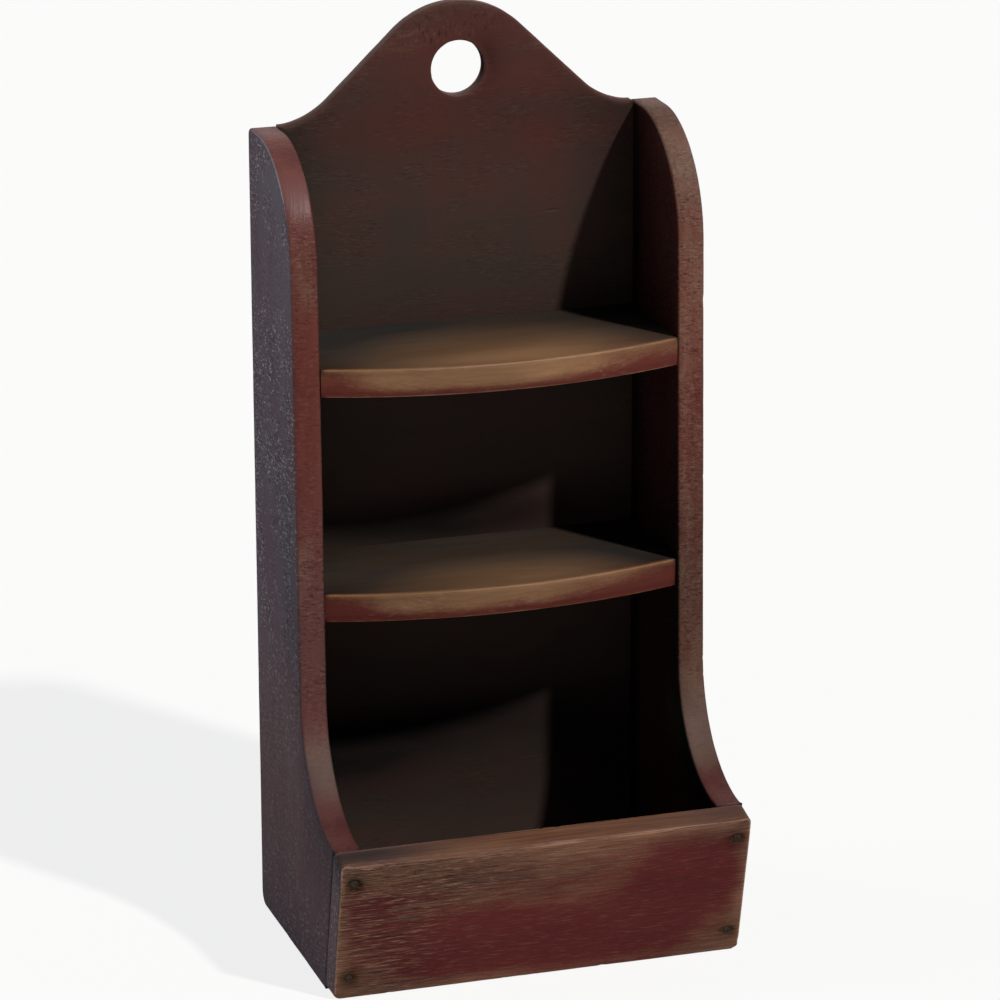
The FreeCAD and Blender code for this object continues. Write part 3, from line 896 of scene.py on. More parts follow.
@dataclass(frozen=True)
class MilkPaint:
    """Old milk paint over pine, worn away to the wood.

    Colours are as seen on screen. A name in mm is a height of relief in millimetres, other lengths
    are in metres, and runs and bands say how many marks or bands there are to a metre.
    """

    name: str
    slot: str
    coat_deep: Colour
    coat_light: Colour
    wood_dark: Colour
    wood_light: Colour
    # Bloom colour: weathered paint, partly a painted reflection, and on the shelves painted shade.
    haze_and_painted_light: Colour
    soil_and_shade_tint: Spot3
    late_dark: float
    mark_run: Spot3
    mark_mm: float
    arris_wear_and_highlight: float
    # Pale and frost lighten scratches, skin tips and arris lines: worn paint and partly painted highlight.
    pale: Colour = (134, 112, 98)
    frost: Colour = (150, 144, 152)
    ring_spacing: float = 0.0026
    pith_across: float = 0.02
    pith_depth: float = -0.06
    wander: float = 0.012
    rub_width: float = 0.0004
    edge_wear: float = 0.0
    edge_clean: float = 0.0
    grime_and_shade_hides: float = 0.0
    soil_and_shade_clear: float = 0.004
    dark_mark: Colour = (25, 22, 22)
    grain_bite: float = 0.06
    break_up: float = 0.5
    ridge_mm: float = 0.02
    fibre_mm: float = 0.02
    coat_mm: float = 0.05
    line_dark: float = 0.06
    fibre_tone: float = 0.5
    skin_run: Spot3 = (820.0, 420.0, 420.0)
    skin_bands: Spot3 = (26.0, 60.0, 60.0)
    skin_share: float = 0.0
    skin_light: float = 0.5
    skin_dark: float = 0.5
    skin_mm: float = 0.5
    mark_bands: Spot3 = (40.0, 60.0, 60.0)
    mark_share: float = 0.5
    mark_light: float = 0.25
    mark_dark: float = 0.55
    hair_run: Spot3 = (260.0, 420.0, 420.0)
    hair_width: float = 0.03
    hair_share: float = 0.3
    hair_light: float = 0.2
    plain_arris: float = 1.0
    gloss: float = 0.08
    haze_gloss: float = 0.04
    haze_thin: float = 0.82
    coat_rough: float = 0.47
    wood_rough: float = 0.52

    def make(self, effects: Effects) -> bpy.types.Material:
        """Build the finish's material.

        Args:
            effects: the shared groups.

        Returns:
            The material.
        """
        material, w = fresh_material(self.name)
        grain, wall, arris = w.note("grain", "Vector"), w.note("wall"), w.note("arris")
        # The dirt quality is partly real dirt and partly painted shade in corners, recesses and shadowed
        # faces.
        rugged, grime_and_shade = w.note("rough"), w.note("soil_and_shade")
        wood_dark, frost = linear(self.wood_dark), linear(self.frost)
        haze_and_painted_light = w.times(w.note("haze_and_painted_light"), w.times_plus(wall, -self.edge_clean, 1.0))
        figure = effects.use(w, grain_figure, grain=grain, ring_spacing=self.ring_spacing,
                             pith_across=self.pith_across, pith_depth=self.pith_depth, wander=self.wander)
        held = w.times_plus(wall, -self.edge_wear, w.note("coat"))
        bare = effects.use(w, coat_wear, grain=grain, coat=held, arris=arris, late=figure.late,
                           fibre=figure.fibre, rub_width=self.rub_width,
                           grain_bite=w.times(rugged, self.grain_bite),
                           break_up=w.times_plus(rugged, 0.8 * self.break_up, 0.6 * self.break_up)).bare
        hair = effects.use(w, hair_lines, grain=grain, run=self.hair_run, width=self.hair_width,
                           share=self.hair_share).line
        marks = effects.use(w, rough_skin, grain=grain, run=self.mark_run, bands=self.mark_bands,
                            share=self.mark_share)
        height = w.times(marks.height, self.mark_mm, rugged)
        light = w.times(marks.tip, self.mark_light, rugged)
        dark = w.times(marks.pit, self.mark_dark, rugged)
        tips: object = 0.0
        if self.skin_share > 0.0:
            skin = effects.use(w, rough_skin, grain=grain, run=self.skin_run, bands=self.skin_bands,
                               share=self.skin_share)
            open_face = w.times(w.note("curl"), w.step(arris, 0.0005, 0.003))
            plain = w.minus(1.0, open_face)
            height = w.times_plus(w.times(skin.height, self.skin_mm), open_face, w.times(height, plain))
            # Light tips and dark pits on open faces are partly flecks in the paint and partly the painted
            # light and shade of its relief.
            tips = w.times(skin.tip, self.skin_light, open_face)
            light = w.times(light, plain)
            dark = w.times_plus(dark, plain, w.times(skin.pit, self.skin_dark, open_face))
        tone = w.times_plus(figure.fibre, self.fibre_tone, w.times(figure.cloud, 1.0 - self.fibre_tone))
        wood = w.mix(tone, wood_dark, linear(self.wood_light))
        wood = w.mix(w.times(figure.late, self.late_dark), wood, wood_dark)
        wood = w.mix(w.times(w.note("end"), 0.3), wood, wood_dark)
        paint = w.mix(figure.cloud, linear(self.coat_deep), linear(self.coat_light))
        colour = w.mix(bare, paint, wood)
        mist = w.times(haze_and_painted_light, w.step(figure.cloud, 0.0, 1.0, self.haze_thin, 1.0))
        colour = w.mix(mist, colour, linear(self.haze_and_painted_light))
        colour = w.mix(w.times(figure.line, self.line_dark), colour, (0.012, 0.008, 0.007, 1.0))
        pale = w.mix(0.5, colour, linear(self.pale))
        colour = w.mix(light, colour, pale)
        colour = w.mix(tips, colour, frost)
        colour = w.mix(w.times(hair, self.hair_light), colour, pale)
        # Pale arris lines are paint worn off the arrises, lightened further as a painted highlight; dirt
        # and painted shade hide them.
        edge = w.step(arris, 0.0002, w.step(figure.fibre, 0.2, 0.8, 0.0005, 0.0014), 1.0, 0.0)
        edge = w.times(edge, self.arris_wear_and_highlight, w.times_plus(grime_and_shade, -self.grime_and_shade_hides, 1.0, clamp=True))
        edge = w.times(edge, w.step(haze_and_painted_light, 0.0, 1.0, self.plain_arris, 1.0))
        colour = w.mix(edge, colour, w.mix(haze_and_painted_light, pale, frost))
        colour = w.mix(dark, colour, linear(self.dark_mark))
        # Darken by the dirt quality's tint: dirt, and painted shade where the boards shade one another; it
        # is kept off near arrises.
        soil_and_shade = w.times(grime_and_shade, w.step(arris, 0.1 * self.soil_and_shade_clear, self.soil_and_shade_clear))
        soil_and_shade = w.times(soil_and_shade, w.step(figure.cloud, 0.0, 1.0, 0.85, 1.0), clamp=True)
        colour = w.mix(soil_and_shade, colour, w.mix(1.0, colour, (*self.soil_and_shade_tint, 1.0), "MULTIPLY"))
        rough = w.step(bare, 0.0, 1.0, self.coat_rough, self.wood_rough)
        rough = w.times_plus(w.minus(figure.fibre, 0.5), 0.1, rough)
        rough = w.times_plus(grime_and_shade, 0.2, rough)
        rough = w.times_plus(haze_and_painted_light, 0.3, rough, clamp=True)
        gloss = w.step(haze_and_painted_light, 0.0, 1.0, self.gloss, self.haze_gloss)
        gloss = w.times(gloss, w.times_plus(grime_and_shade, -1.0, 1.0), w.note("shine"))
        for layer, deep in ((figure.fibre, self.fibre_mm), (figure.late, self.ridge_mm),
                            (figure.line, -self.ridge_mm), (bare, -self.coat_mm), (hair, -0.04)):
            height = w.times_plus(layer, deep, height)
        bump = w.add("Bump", {"Height": height, "Strength": 1.0, "Distance": MM}).outputs[0]
        shader = w.add("BsdfPrincipled", {"Base Color": colour, "Roughness": rough, "Normal": bump,
                                          "Specular IOR Level": gloss}).outputs[0]
        w.add("OutputMaterial", {"Surface": shader})
        return material


@dataclass(frozen=True)
class OldIron:
    """Dark oxidised iron of hand-cut nails."""

    name: str
    slot: str
    dark: Colour = (26, 23, 19)
    light: Colour = (49, 44, 36)

    def make(self, effects: Effects) -> bpy.types.Material:
        """Build the iron's material.

        Args:
            effects: the shared groups.

        Returns:
            The material.
        """
        material, w = fresh_material(self.name)
        place = w.add("TexCoord").outputs["Object"]
        scale = w.noise(place, (600.0, 600.0, 600.0), 4.0, 0.65)
        spots = effects.use(w, specks, grain=place, spacing=0.0012, size=0.4, share=0.5).spot
        colour = w.mix(w.step(scale, 0.35, 0.65), linear(self.dark), linear(self.light))
        colour = w.mix(w.times(spots, 0.5), colour, (0.05, 0.025, 0.014, 1.0))
        height = w.times_plus(scale, 0.3, w.times(spots, 0.08))
        bump = w.add("Bump", {"Height": height, "Strength": 1.0, "Distance": MM}).outputs[0]
        shader = w.add("BsdfPrincipled", {
            "Base Color": colour, "Metallic": 0.25, "Specular IOR Level": 0.15,
            "Roughness": w.step(scale, 0.3, 0.7, 0.8, 0.6), "Normal": bump}).outputs[0]
        w.add("OutputMaterial", {"Surface": shader})
        return material


def settle(piece: bpy.types.Object, material: bpy.types.Material, node: str) -> None:
    """Dress a piece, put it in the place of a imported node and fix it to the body.

    Args:
        piece: the piece.
        material: its finish.
        node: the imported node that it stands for.
    """
    piece.data.materials.append(material)
    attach(piece, BODY)
    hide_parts(node)
    LOG.info("%s: %d points, %d faces", piece.name, len(piece.data.vertices), len(piece.data.polygons))


@dataclass
class Sizes:
    """The boards' real sizes in millimetres, as in the part's source."""

    unit_width: float = 240.0
    side_thick: float = 16.0
    side_height: float = 465.0
    side_depth: float = 90.2
    side_tilt: float = 1.4
    side_top_round: float = 66.0
    side_foot_round: float = 8.0
    back_thick: float = 9.5
    shoulder_rise: float = 1.5
    crest_rise: float = 63.0
    crown_share: float = 0.45
    cove_share: float = 0.36
    hang_hole_radius: float = 15.9
    hang_hole_drop: float = 38.0
    shelf_thick: float = 16.0
    upper_shelf_top: float = 346.2
    lower_shelf_top: float = 215.6
    upper_shelf_bow: float = 18.5
    lower_shelf_bow: float = 16.5
    lower_shelf_setback: float = 2.8
    bin_height: float = 90.8
    bin_depth: float = 157.8
    bottom_thick: float = 12.0
    front_thick: float = 16.5
    front_tilt: float = 13.4
    front_lip_round: float = 4.5
    nail_length: float = 38.0
    front_nail_foot: float = 13.6
    front_nail_top: float = 12.4
    shelf_nail_inset: float = 20.0
    bottom_nail_inset: float = 30.0
    back_nail_end: float = 50.0
    back_nail_inset: float = 34.0

    @property
    def half_width(self) -> float:
        """Half the width over the sides."""
        return self.unit_width / 2

    @property
    def half_bay(self) -> float:
        """Half the width between the sides."""
        return self.half_width - self.side_thick

    @property
    def lean(self) -> float:
        """The front board's lean in radians."""
        return math.radians(self.front_tilt)

    @property
    def foot_depth(self) -> float:
        """Depth of the front board's inner face at the base."""
        return self.bin_depth - self.bin_height * math.tan(self.lean)

    @property
    def slope_rise(self) -> float:
        """Height of the front board's inner face along its slope."""
        return self.bin_height / math.cos(self.lean)

    @property
    def upper_shelf_depth(self) -> float:
        """Depth of the upper shelf's front corners."""
        return self.edge_depth(self.upper_shelf_top)

    @property
    def lower_shelf_depth(self) -> float:
        """Depth of the lower shelf's front corners."""
        return self.side_depth - self.lower_shelf_setback

    @property
    def back_plane(self) -> float:
        """Where the wall plane lies along Y."""
        lip = self.front_lip_round * (math.cos(self.lean) + math.sin(self.lean) - 1)
        return (self.bin_depth + self.front_thick * math.cos(self.lean) - lip) / 2

    def edge_depth(self, height: float) -> float:
        """Depth of the sides' straight front edge at a height."""
        return self.side_depth - (height - self.lower_shelf_top) * math.tan(math.radians(self.side_tilt))


@dataclass
class Carcass:
    """The two shaped sides and the crested back."""

    sizes: Sizes
    paint: MilkPaint
    back_paint: MilkPaint

    def side_turns(self) -> list[Turn]:
        """Outline of a side in Y and Z, walked anticlockwise from its heel.

        Returns:
            Its turns.
        """
        s = self.sizes
        back, lean, foot = s.back_plane, math.radians(s.side_tilt), s.side_foot_round
        bend_height = s.side_height - s.side_top_round
        brow = s.edge_depth(bend_height) - s.side_top_round / math.cos(lean)
        reach = s.bin_depth - s.edge_depth(s.bin_height)
        hollow = reach / (1.0 / math.cos(lean) - math.tan(lean))
        turns = sweep((back - foot, foot), foot, -90, 0, SAWN, 8)
        turns.append(Turn(back, s.side_height, 4.2, HANDLED))
        bend = sweep((back - brow, bend_height), s.side_top_round, 90, 180 - s.side_tilt, PAINTED)
        for step, turn in enumerate(bend):
            # The round corner is rubbed bare at its top, and keeps a little paint down its front.
            kept = 0.05 * min(max((step - 26) / 14, 0.0), 1.0)
            turns.append(replace(turn, rim=replace(PAINTED, rub=1.0 - kept)))
        flare = (back - s.bin_depth, s.bin_height + hollow)
        turns += sweep(flare, hollow, 360 - s.side_tilt, 270, PAINTED)[:-1]
        turns.append(Turn(back - s.bin_depth, s.bin_height, 0.3, JOINT))
        turns.append(Turn(back - s.foot_depth, 0.0, 0.4, SAWN))
        return turns

    def side(self, name: str, low_x: float, left: bool, seed: int) -> Board:
        """One side board.

        Args:
            name: the piece's name.
            low_x: where its lower-X face lies.
            left: whether it is the left side, whose lower-X face is the outer one.
            seed: which unevenness it has.

        Returns:
            The board.
        """
        s = self.sizes
        inner, outer = (low_x + s.side_thick, low_x) if left else (low_x, low_x + s.side_thick)
        on_left = 1.0 if left else 0.0
        edge = s.back_plane - s.edge_depth(300.0)
        # The outer face's grey-violet bloom is weathered paint and partly a painted reflection of the white
        # surroundings; the small patch at 441 high on the left's front edge is a painted sheen.
        haze_and_painted_light = Quality(0.0)
        haze_and_painted_light.add("x", outer, 0.75, (0, 250, FAR, FAR, 0.95), (0, 75, FAR, 100, -0.45),
                 (20, 130, 25, 60, -0.15))
        haze_and_painted_light.add("x", 0, FAR, (-60, 190, 60, 80, 0.38 if left else 0.12), (-60, 120, 60, 18, 0.28),
                 (20, 441, 60, 11, 0.13 * on_left))
        haze_and_painted_light.add("x", outer, 1, (edge, 260, 8, 170, -0.3))
        coat = Quality(0.62 if left else 0.31)
        coat.add("x", outer, 1, (0, 200, FAR, FAR, 0.25))
        # The patch at 446 on the left's front edge thins the paint to lighten it as a painted sheen.
        coat.add("x", 0, FAR, (-10, 462, 90, 40, 0.35 if left else -0.1), (-40, 92, 60, 12, 0.45),
                 (-30, 120, 60, 20, -0.45), (-10, 300, 60, 90, 0.15), (-10, 402, 60, 34, -0.26 * on_left),
                 (20, 446, 60, 12, -0.22 * on_left))
        coat.add("x", outer, 9, (-20, 230, 60, 30, -0.4 * on_left))
        coat.add("x", inner, 0.8, (40, 250, 60, FAR, 0.4))
        # Darkening on the inner faces and in the inner corner by the back is painted shade. The outer face
        # is darker towards its foot, the front edges darken lower down, and short dark lines mark the seam
        # with the front board.
        soil_and_shade = Quality(0.0)
        soil_and_shade.add("x", inner, 1, (0, 200, FAR, FAR, 0.76))
        soil_and_shade.add("x", inner, 3, (s.back_plane - s.back_thick, 200, 16, FAR, 0.3))
        soil_and_shade.add("x", outer, 1, (0, -40, FAR, 190, 0.4), (0, 280, FAR, 100, 0.08), (0, 98, FAR, 50, 0.13))
        soil_and_shade.add("x", 0, FAR, (-60, 130, 60, 75, 0.36), (-20, 205, 60, 65, 0.26 if left else 0.36))
        for share in (0.06, 0.2, 0.34, 0.48, 0.62, 0.76, 0.9):
            y = s.back_plane - s.bin_depth + share * (s.bin_depth - s.foot_depth)
            soil_and_shade.add("x", outer, 2, (y, s.bin_height * (1 - share), 1.8, 8.5, 0.5))
        curl = Quality(0.0).add("x", outer, 0.75, (0, 250, FAR, FAR, 1.0))
        curl.add("x", outer, 2, (0, 392, FAR, 28, -0.8), (0, 80, FAR, 85, -0.7))
        shine = Quality(0.13)
        shine.add("x", 0, FAR, (20, 449, 60, 15, 0.55), (0, 404, 60, 24, 0.14), (-60, 118, 60, 24, 0.3))
        rough = Quality(1.0)
        rough.add("x", 0, FAR, (-40, 116, 60, 45, -0.85), (30, 466, 50, 9, -0.8 if left else -0.4),
                  (20, 446, 40, 11, -0.8 if left else -0.3), (20, 434, 40, 15, -0.6 * on_left),
                  (-10, 310, 60, 90, -0.5 * on_left), (-20, 208, 60, 34, 0.9 * on_left))
        looks = {"coat": coat, "haze_and_painted_light": haze_and_painted_light, "soil_and_shade": soil_and_shade, "rough": rough, "curl": curl, "shine": shine}
        return Board(name, self.side_turns(), s.side_thick, (low_x, 0.0, 0.0), (Y, Z, X), (Z, Y, X), seed,
                     looks, pitch=(7.0, 2.4))

    def back(self) -> Board:
        """The back board with its round crest and hanging hole.

        Returns:
            The board.
        """
        s = self.sizes
        half, wall, face = s.half_bay, s.back_plane, s.back_plane - s.back_thick
        shoulder = s.side_height + s.shoulder_rise
        top = shoulder + s.crest_rise
        hole = top - s.hang_hole_drop
        curve = (half ** 2 + s.crest_rise ** 2) / (2 * s.crest_rise)
        crown, cove = s.crown_share * curve, s.cove_share * curve
        rise = (shoulder + cove) - (top - crown)
        slope = math.atan2(rise, half) + math.acos((crown + cove) / math.hypot(half, rise))
        steep = math.degrees(slope)
        crest = Rim(0.8, 1.7, 0.3, 1.0)
        line = sweep((half, shoulder + cove), cove, 270, 180 + steep, crest, 24)[1:]
        line += sweep((0, top - crown), crown, steep, 180 - steep, replace(crest, rub=0.95))
        line += sweep((-half, shoulder + cove), cove, 360 - steep, 270, crest, 24)[:-1]
        # Where the coves meet the sides, wear has lowered them a little.
        low = 1.3
        line = [replace(t, y=t.y - low * math.exp(-((half - abs(t.x)) / 16.0) ** 2)) for t in line]
        turns = [Turn(-half, 0, 0.4, SAWN), Turn(half, 0, 0.4, JOINT)]
        turns += [Turn(half, shoulder - low, 0.8, crest), *line, Turn(-half, shoulder - low, 0.8, JOINT)]
        bore = sweep((0, hole), s.hang_hole_radius, 360, 0, Rim(0.3, 0.6, 0.03, 1.0), 64)[:-1]
        coat = Quality(0.88)
        coat.add("y", face, FAR, (-34, 509, 20, 12, -0.42), (0, 526, 30, 6, -0.4),
                 (-60, 492, 14, 12, -0.35), (50, 503, 20, 9, -0.35), (88, 474, 18, 8, -0.25))
        coat.add("y", wall - 3, 6, (14, hole + 3, 9, 16, 0.5)).add("y", wall, 1.2, (0, 250, FAR, FAR, -1.5))
        haze_and_painted_light = Quality(0.78)
        haze_and_painted_light.add("y", face, FAR, (10, 475, 90, 50, -0.62), (0, 505, 75, 30, -0.4), (30, 430, 50, 30, -0.25),
                 (-half, 455, 22, 40, 0.25), (0, 60, FAR, 260, 0.5))
        haze_and_painted_light.add("y", wall, 1.2, (0, 250, FAR, FAR, -2.0))
        smears = np.random.default_rng(41)
        for x in range(-96, 97, 12):
            amount, wide = smears.uniform(-0.34, 0.30), smears.uniform(4.0, 10.0)
            haze_and_painted_light.add("y", face, FAR, (x, smears.uniform(370, 450), wide, 55, amount))
        rough = Quality(0.5)
        rough.add("y", face, FAR, (-30, 512, 55, 16, 0.5), (-60, 430, 45, 50, 0.3),
                  (0, 200, FAR, 130, -0.4))
        curl = Quality(0.0).add("y", face, 0.8, (-26, 515, 52, 13, 0.9), (30, 517, 40, 8, 0.4))
        # Darkening of the back's face is painted shade: in the bin and the bays, under the upper shelf, by
        # the left side, along the top of the upper bay and in the shadow behind the right side. The patch
        # at the hanging hole paints shade on its upper right wall.
        soil_and_shade = Quality(0.0)
        soil_and_shade.add("y", face, 6, (-half, 400, 16, 110, 0.35), (half, 430, 28, 62, 0.4),
                 (0, 462, FAR, 26, 0.16), (0, 130, FAR, 150, 0.22), (-40, 222, 80, 12, 0.6),
                 (24, 230, 50, 15, 0.7), (0, 325, FAR, 24, 0.25), (20, 290, 90, 28, 0.2),
                 (-78, 90, 55, 20, 0.75), (15, 103, 70, 15, 0.5), (0, 75, FAR, 35, 0.34))
        soil_and_shade.add("y", wall - 3, 6, (15, hole + 5, 9, 14, 1.6))
        dents = [Dent((55.0, 405.0), (6.0, 1.1), 0.35)]
        chips = ((-44, 507, 5.0), (-38, 512, 5.5), (-33, 516, 4.5), (-25, 517, 5.5), (-19, 521, 4.0),
                 (-11, 523, 4.5), (-3, 524, 4.0), (49, 500, 4.5), (55, 496, 4.0))
        dents += [Dent((x, z), (1.4, long), 0.4) for x, z, long in chips]
        dents += [Dent(spot, (3.4, 3.4), 0.45, on_high=False, flat=0.72) for spot in self.back_nail_spots()]
        looks = {"coat": coat, "haze_and_painted_light": haze_and_painted_light, "soil_and_shade": soil_and_shade, "rough": rough, "curl": curl}
        return Board("back_board_crested", turns, s.back_thick, (0.0, wall, 0.0), (X, Z, TO_FRONT),
                     (X, Z, Y), 5, looks, holes=[bore], pitch=(7.0, 2.6), dents=dents, ridge=0.02)

    def back_nail_spots(self) -> list[Spot2]:
        """Where nails go through the back, across and up.

        Returns:
            The places in millimetres.
        """
        s = self.sizes
        middle, outer = s.shelf_thick / 2, s.half_bay - s.back_nail_inset
        rows = (s.upper_shelf_top - middle, s.lower_shelf_top - middle, s.bottom_thick / 2)
        return [(x, z) for z in rows for x in (-outer, 0.0, outer)]

    def build(self, effects: Effects) -> None:
        """Make and dress the sides and the back.

        Args:
            effects: the shared groups.
        """
        s, material = self.sizes, self.paint.make(effects)
        left = self.side("left_side_board", -s.half_width, True, 11)
        settle(left.build(), material, "left_side")
        right = self.side("right_side_board", s.half_bay, False, 23)
        settle(right.build(), material, "right_side")
        settle(self.back().build(), self.back_paint.make(effects), "back_board")


@dataclass
class Shelves:
    """The two bowed shelves between the sides."""

    sizes: Sizes
    finish: MilkPaint

    def shelf(self, name: str, top: float, corner_depth: float, bow: float, seed: int,
              grime_and_shade: float) -> Board:
        """One bowed shelf.

        Args:
            name: the piece's name.
            top: height of its upper face.
            corner_depth: depth of its front corners from the wall.
            bow: how far its front swells.
            seed: which unevenness it has.
            grime_and_shade: how much darker it is painted than a clean shelf, partly from dirt and partly
                as painted shade, from 0 to 1.

        Returns:
            The board.
        """
        s = self.sizes
        half, rear, front = s.half_bay, s.back_plane - s.back_thick, s.back_plane - corner_depth
        low, edge = top - s.shelf_thick, front - bow
        radius = (half ** 2 + bow ** 2) / (2 * bow)
        spread = math.degrees(math.asin(half / radius))
        worn = Rim(0.8, 0.9, 0.25, 1.0)
        turns = sweep((0.0, edge + radius), radius, 270 - spread, 270 + spread, worn)[:-1]
        turns[0] = Turn(-half, front, 0.4, worn)
        turns += [Turn(x, y, 0.4, JOINT) for x, y in ((half, front), (half, rear), (-half, rear))]
        coat = Quality(0.12)
        coat.add("y", edge, 40, (-half, top - 9, 26, 12, 0.55), (half, top - 9, 58, 11, 0.46),
                 (0, top - 9, FAR, 7, 0.5 * grime_and_shade - 0.03), (0, low, FAR, 5, 0.5))
        # Darkening of the top is painted shade, deepest towards the rear and the corners by the sides and
        # lightened near the front; on the front face the lower arris is painted in shade.
        soil_and_shade = Quality(grime_and_shade)
        soil_and_shade.add("z", top, 3, (0, 0, FAR, FAR, 0.6), (0, rear, FAR, 36, 0.45), (-half, 10, 50, 60, 0.35),
                 (half, rear - 20, 44, 46, 0.35), (half, edge + 24, 34, 26, 0.25))
        soil_and_shade.add("z", top, 4, (10, edge + 12, 64, 27, -0.6 + 0.4 * grime_and_shade))
        soil_and_shade.add("y", edge, 40, (0, top - 8, FAR, 7, -0.3 * grime_and_shade), (0, low, FAR, 2, 0.6))
        # The near-black patches at the rear are painted shadow: at the right where the side shades the top,
        # and a wedge at the left rear of the lower shelf.
        haze_and_painted_light = Quality(0.0).add("z", top, 3, (half, rear, 52, 46, 0.6), (-half, rear, 80, 26, 2.6 * grime_and_shade))
        rough = Quality(0.12).add("z", top - 9, 6, (0, edge + 8, FAR, 26, 0.88))
        looks = {"coat": coat, "haze_and_painted_light": haze_and_painted_light, "soil_and_shade": soil_and_shade, "rough": rough}
        return Board(name, turns, s.shelf_thick, (0.0, 0.0, low), (X, Y, Z), (X, Y, Z), seed, looks,
                     swell=0.15, ridge=0.03)

    def build(self, effects: Effects) -> None:
        """Make and dress both shelves.

        Args:
            effects: the shared groups.
        """
        s, material = self.sizes, self.finish.make(effects)
        rows = (("upper_shelf", s.upper_shelf_top, s.upper_shelf_depth, s.upper_shelf_bow, 31, 0.0),
                ("lower_shelf", s.lower_shelf_top, s.lower_shelf_depth, s.lower_shelf_bow, 43, 0.22))
        for node, *row in rows:
            settle(self.shelf(f"{node}_board", *row).build(), material, node)


@dataclass
class Bin:
    """The bin's bottom board and its leaning front board."""

    sizes: Sizes
    paint: MilkPaint
    floor_paint: MilkPaint

    def floor(self) -> Board:
        """The bottom board, bevelled to meet the front.

        Returns:
            The board.
        """
        s = self.sizes
        half, rear, front = s.half_bay, s.back_plane - s.back_thick, s.back_plane - s.foot_depth
        corners = ((-half, front), (half, front), (half, rear), (-half, rear))
        turns = [Turn(x, y, 0.4, JOINT) for x, y in corners]

        def bevel(local: np.ndarray) -> np.ndarray:
            """Lean the front edge with the front board.

            Args:
                local: places on the upright board.

            Returns:
                The places moved.
            """
            moved = local.copy()
            share = (rear - moved[:, 1]) / (rear - front)
            moved[:, 1] -= share * moved[:, 2] * math.tan(s.lean)
            return moved

        # The bin floor is darker inside the bin, partly dirt and partly painted shade.
        looks = {"coat": Quality(0.5), "soil_and_shade": Quality(0.3)}
        return Board("bin_floor_board", turns, s.bottom_thick, (0.0, 0.0, 0.0), (X, Y, Z), (X, Y, Z), 57,
                     looks, shear=bevel)

    def front(self) -> Board:
        """The leaning front board, worn along its lip, ends and corners.

        Returns:
            The board.
        """
        s = self.sizes
        lean, half, rise, inner = s.lean, s.half_width, s.slope_rise, s.back_plane - s.foot_depth
        face = inner - s.front_thick / math.cos(lean)
        lip = s.back_plane - s.bin_depth - 6.0
        end = Rim(0.4, 1.6, 0.1, 1.0)
        turns = [Turn(-half, 0, 4.5, Rim(0.6, 1.4, 0.3, 0.9)), Turn(half, 0, 4.5, end),
                 Turn(half, rise, 3.2, Rim(1.4, 4.5, 0.1, 1.0)), Turn(-half, rise, 3.2, end)]

        def foot_cut(local: np.ndarray) -> np.ndarray:
            """Cut the foot level with the base.

            Args:
                local: places on the uncut board.

            Returns:
                The places moved.
            """
            moved = local.copy()
            low = moved[:, 2] * math.tan(lean)
            moved[:, 1] = low + moved[:, 1] * (rise - low) / rise
            return moved

        coat = Quality(0.33)
        coat.add("y", face, FAR, (86, 50, 31, 25, 0.62), (-45, 30, 38, 17, 0.58), (22, 28, 48, 20, 0.34),
                 (-98, 62, 30, 9, 0.24), (-70, 4, 60, 7, -0.2), (-56, 17, 26, 11, 0.3),
                 (70, 84, 50, 12, 0.14), (30, 14, 80, 10, 0.25), (-100, 44, 16, 12, 0.25),
                 (0, 90, FAR, 13, -0.35), (-75, 68, 45, 12, -0.18), (-120, 45, 6, 60, -0.25),
                 (120, 45, 6, 60, -0.3), (-112, 8, 20, 14, -0.16), (112, 8, 22, 16, -0.3))
        lip_ends = ((-106, 92, 44, 12, 0.75), (108, 92, 34, 12, 0.3))
        haze_and_painted_light, curl = Quality(0.0).add("y", lip, 11, *lip_ends), Quality(0.0)
        # The ends' grey-violet bloom is weathered paint and partly a painted reflection of the white
        # surroundings.
        for x in (-half, half):
            haze_and_painted_light.add("x", x, 0.35, (0, 45, FAR, FAR, 0.85))
            curl.add("x", x, 0.9, (0, 45, FAR, FAR, 1.0))
        rough = Quality(0.2)
        rough.add("y", face, FAR, (0, 94, FAR, 6, -1.2), (-88, 76, 50, 14, 0.8), (-98, 35, 36, 40, 0.75),
                  (-55, 66, 30, 12, 0.3), (-20, 78, 60, 12, 0.2))
        soil_and_shade = Quality(0.0).add("y", lip, 11, *lip_ends)
        soil_and_shade.add("y", face, FAR, (-78, 75, 44, 11, 0.18), (-90, 12, 40, 20, 0.16))
        dents = []
        for x, up in self.nail_spots():
            dents.append(Dent((x, up), (4.4, 4.1), 1.0, flat=0.66))
            dents.append(Dent((math.copysign(half, x), rise), (17.0, 15.0), 0.8))
            across, depth, height = self.on_slope(x, up, s.front_thick)
            soil_and_shade.add("y", depth, 8, (across, height, 6.5, 5.5, 0.85))
        looks = {"coat": coat, "haze_and_painted_light": haze_and_painted_light, "soil_and_shade": soil_and_shade, "rough": rough, "curl": curl}
        axes = (X, (0.0, -math.sin(lean), math.cos(lean)), (0.0, -math.cos(lean), -math.sin(lean)))
        return Board("bin_front_board", turns, s.front_thick, (0.0, inner, 0.0), axes, axes, 67, looks,
                     pitch=(5.0, 1.2), shear=foot_cut, dents=dents, ridge=0.2, ridge_gap=2.4, arris_steps=5)

    def nail_spots(self) -> list[Spot2]:
        """Where the front nails are: across, and up the inner slope's own scale.

        Returns:
            The places in millimetres.
        """
        s = self.sizes
        start, rise = s.front_thick * math.tan(s.lean), s.slope_rise
        across = s.half_width - s.side_thick / 2
        rows = (start + s.front_nail_foot, rise - s.front_nail_top)
        return [(x, (row - start) * rise / (rise - start)) for x in (-across, across) for row in rows]

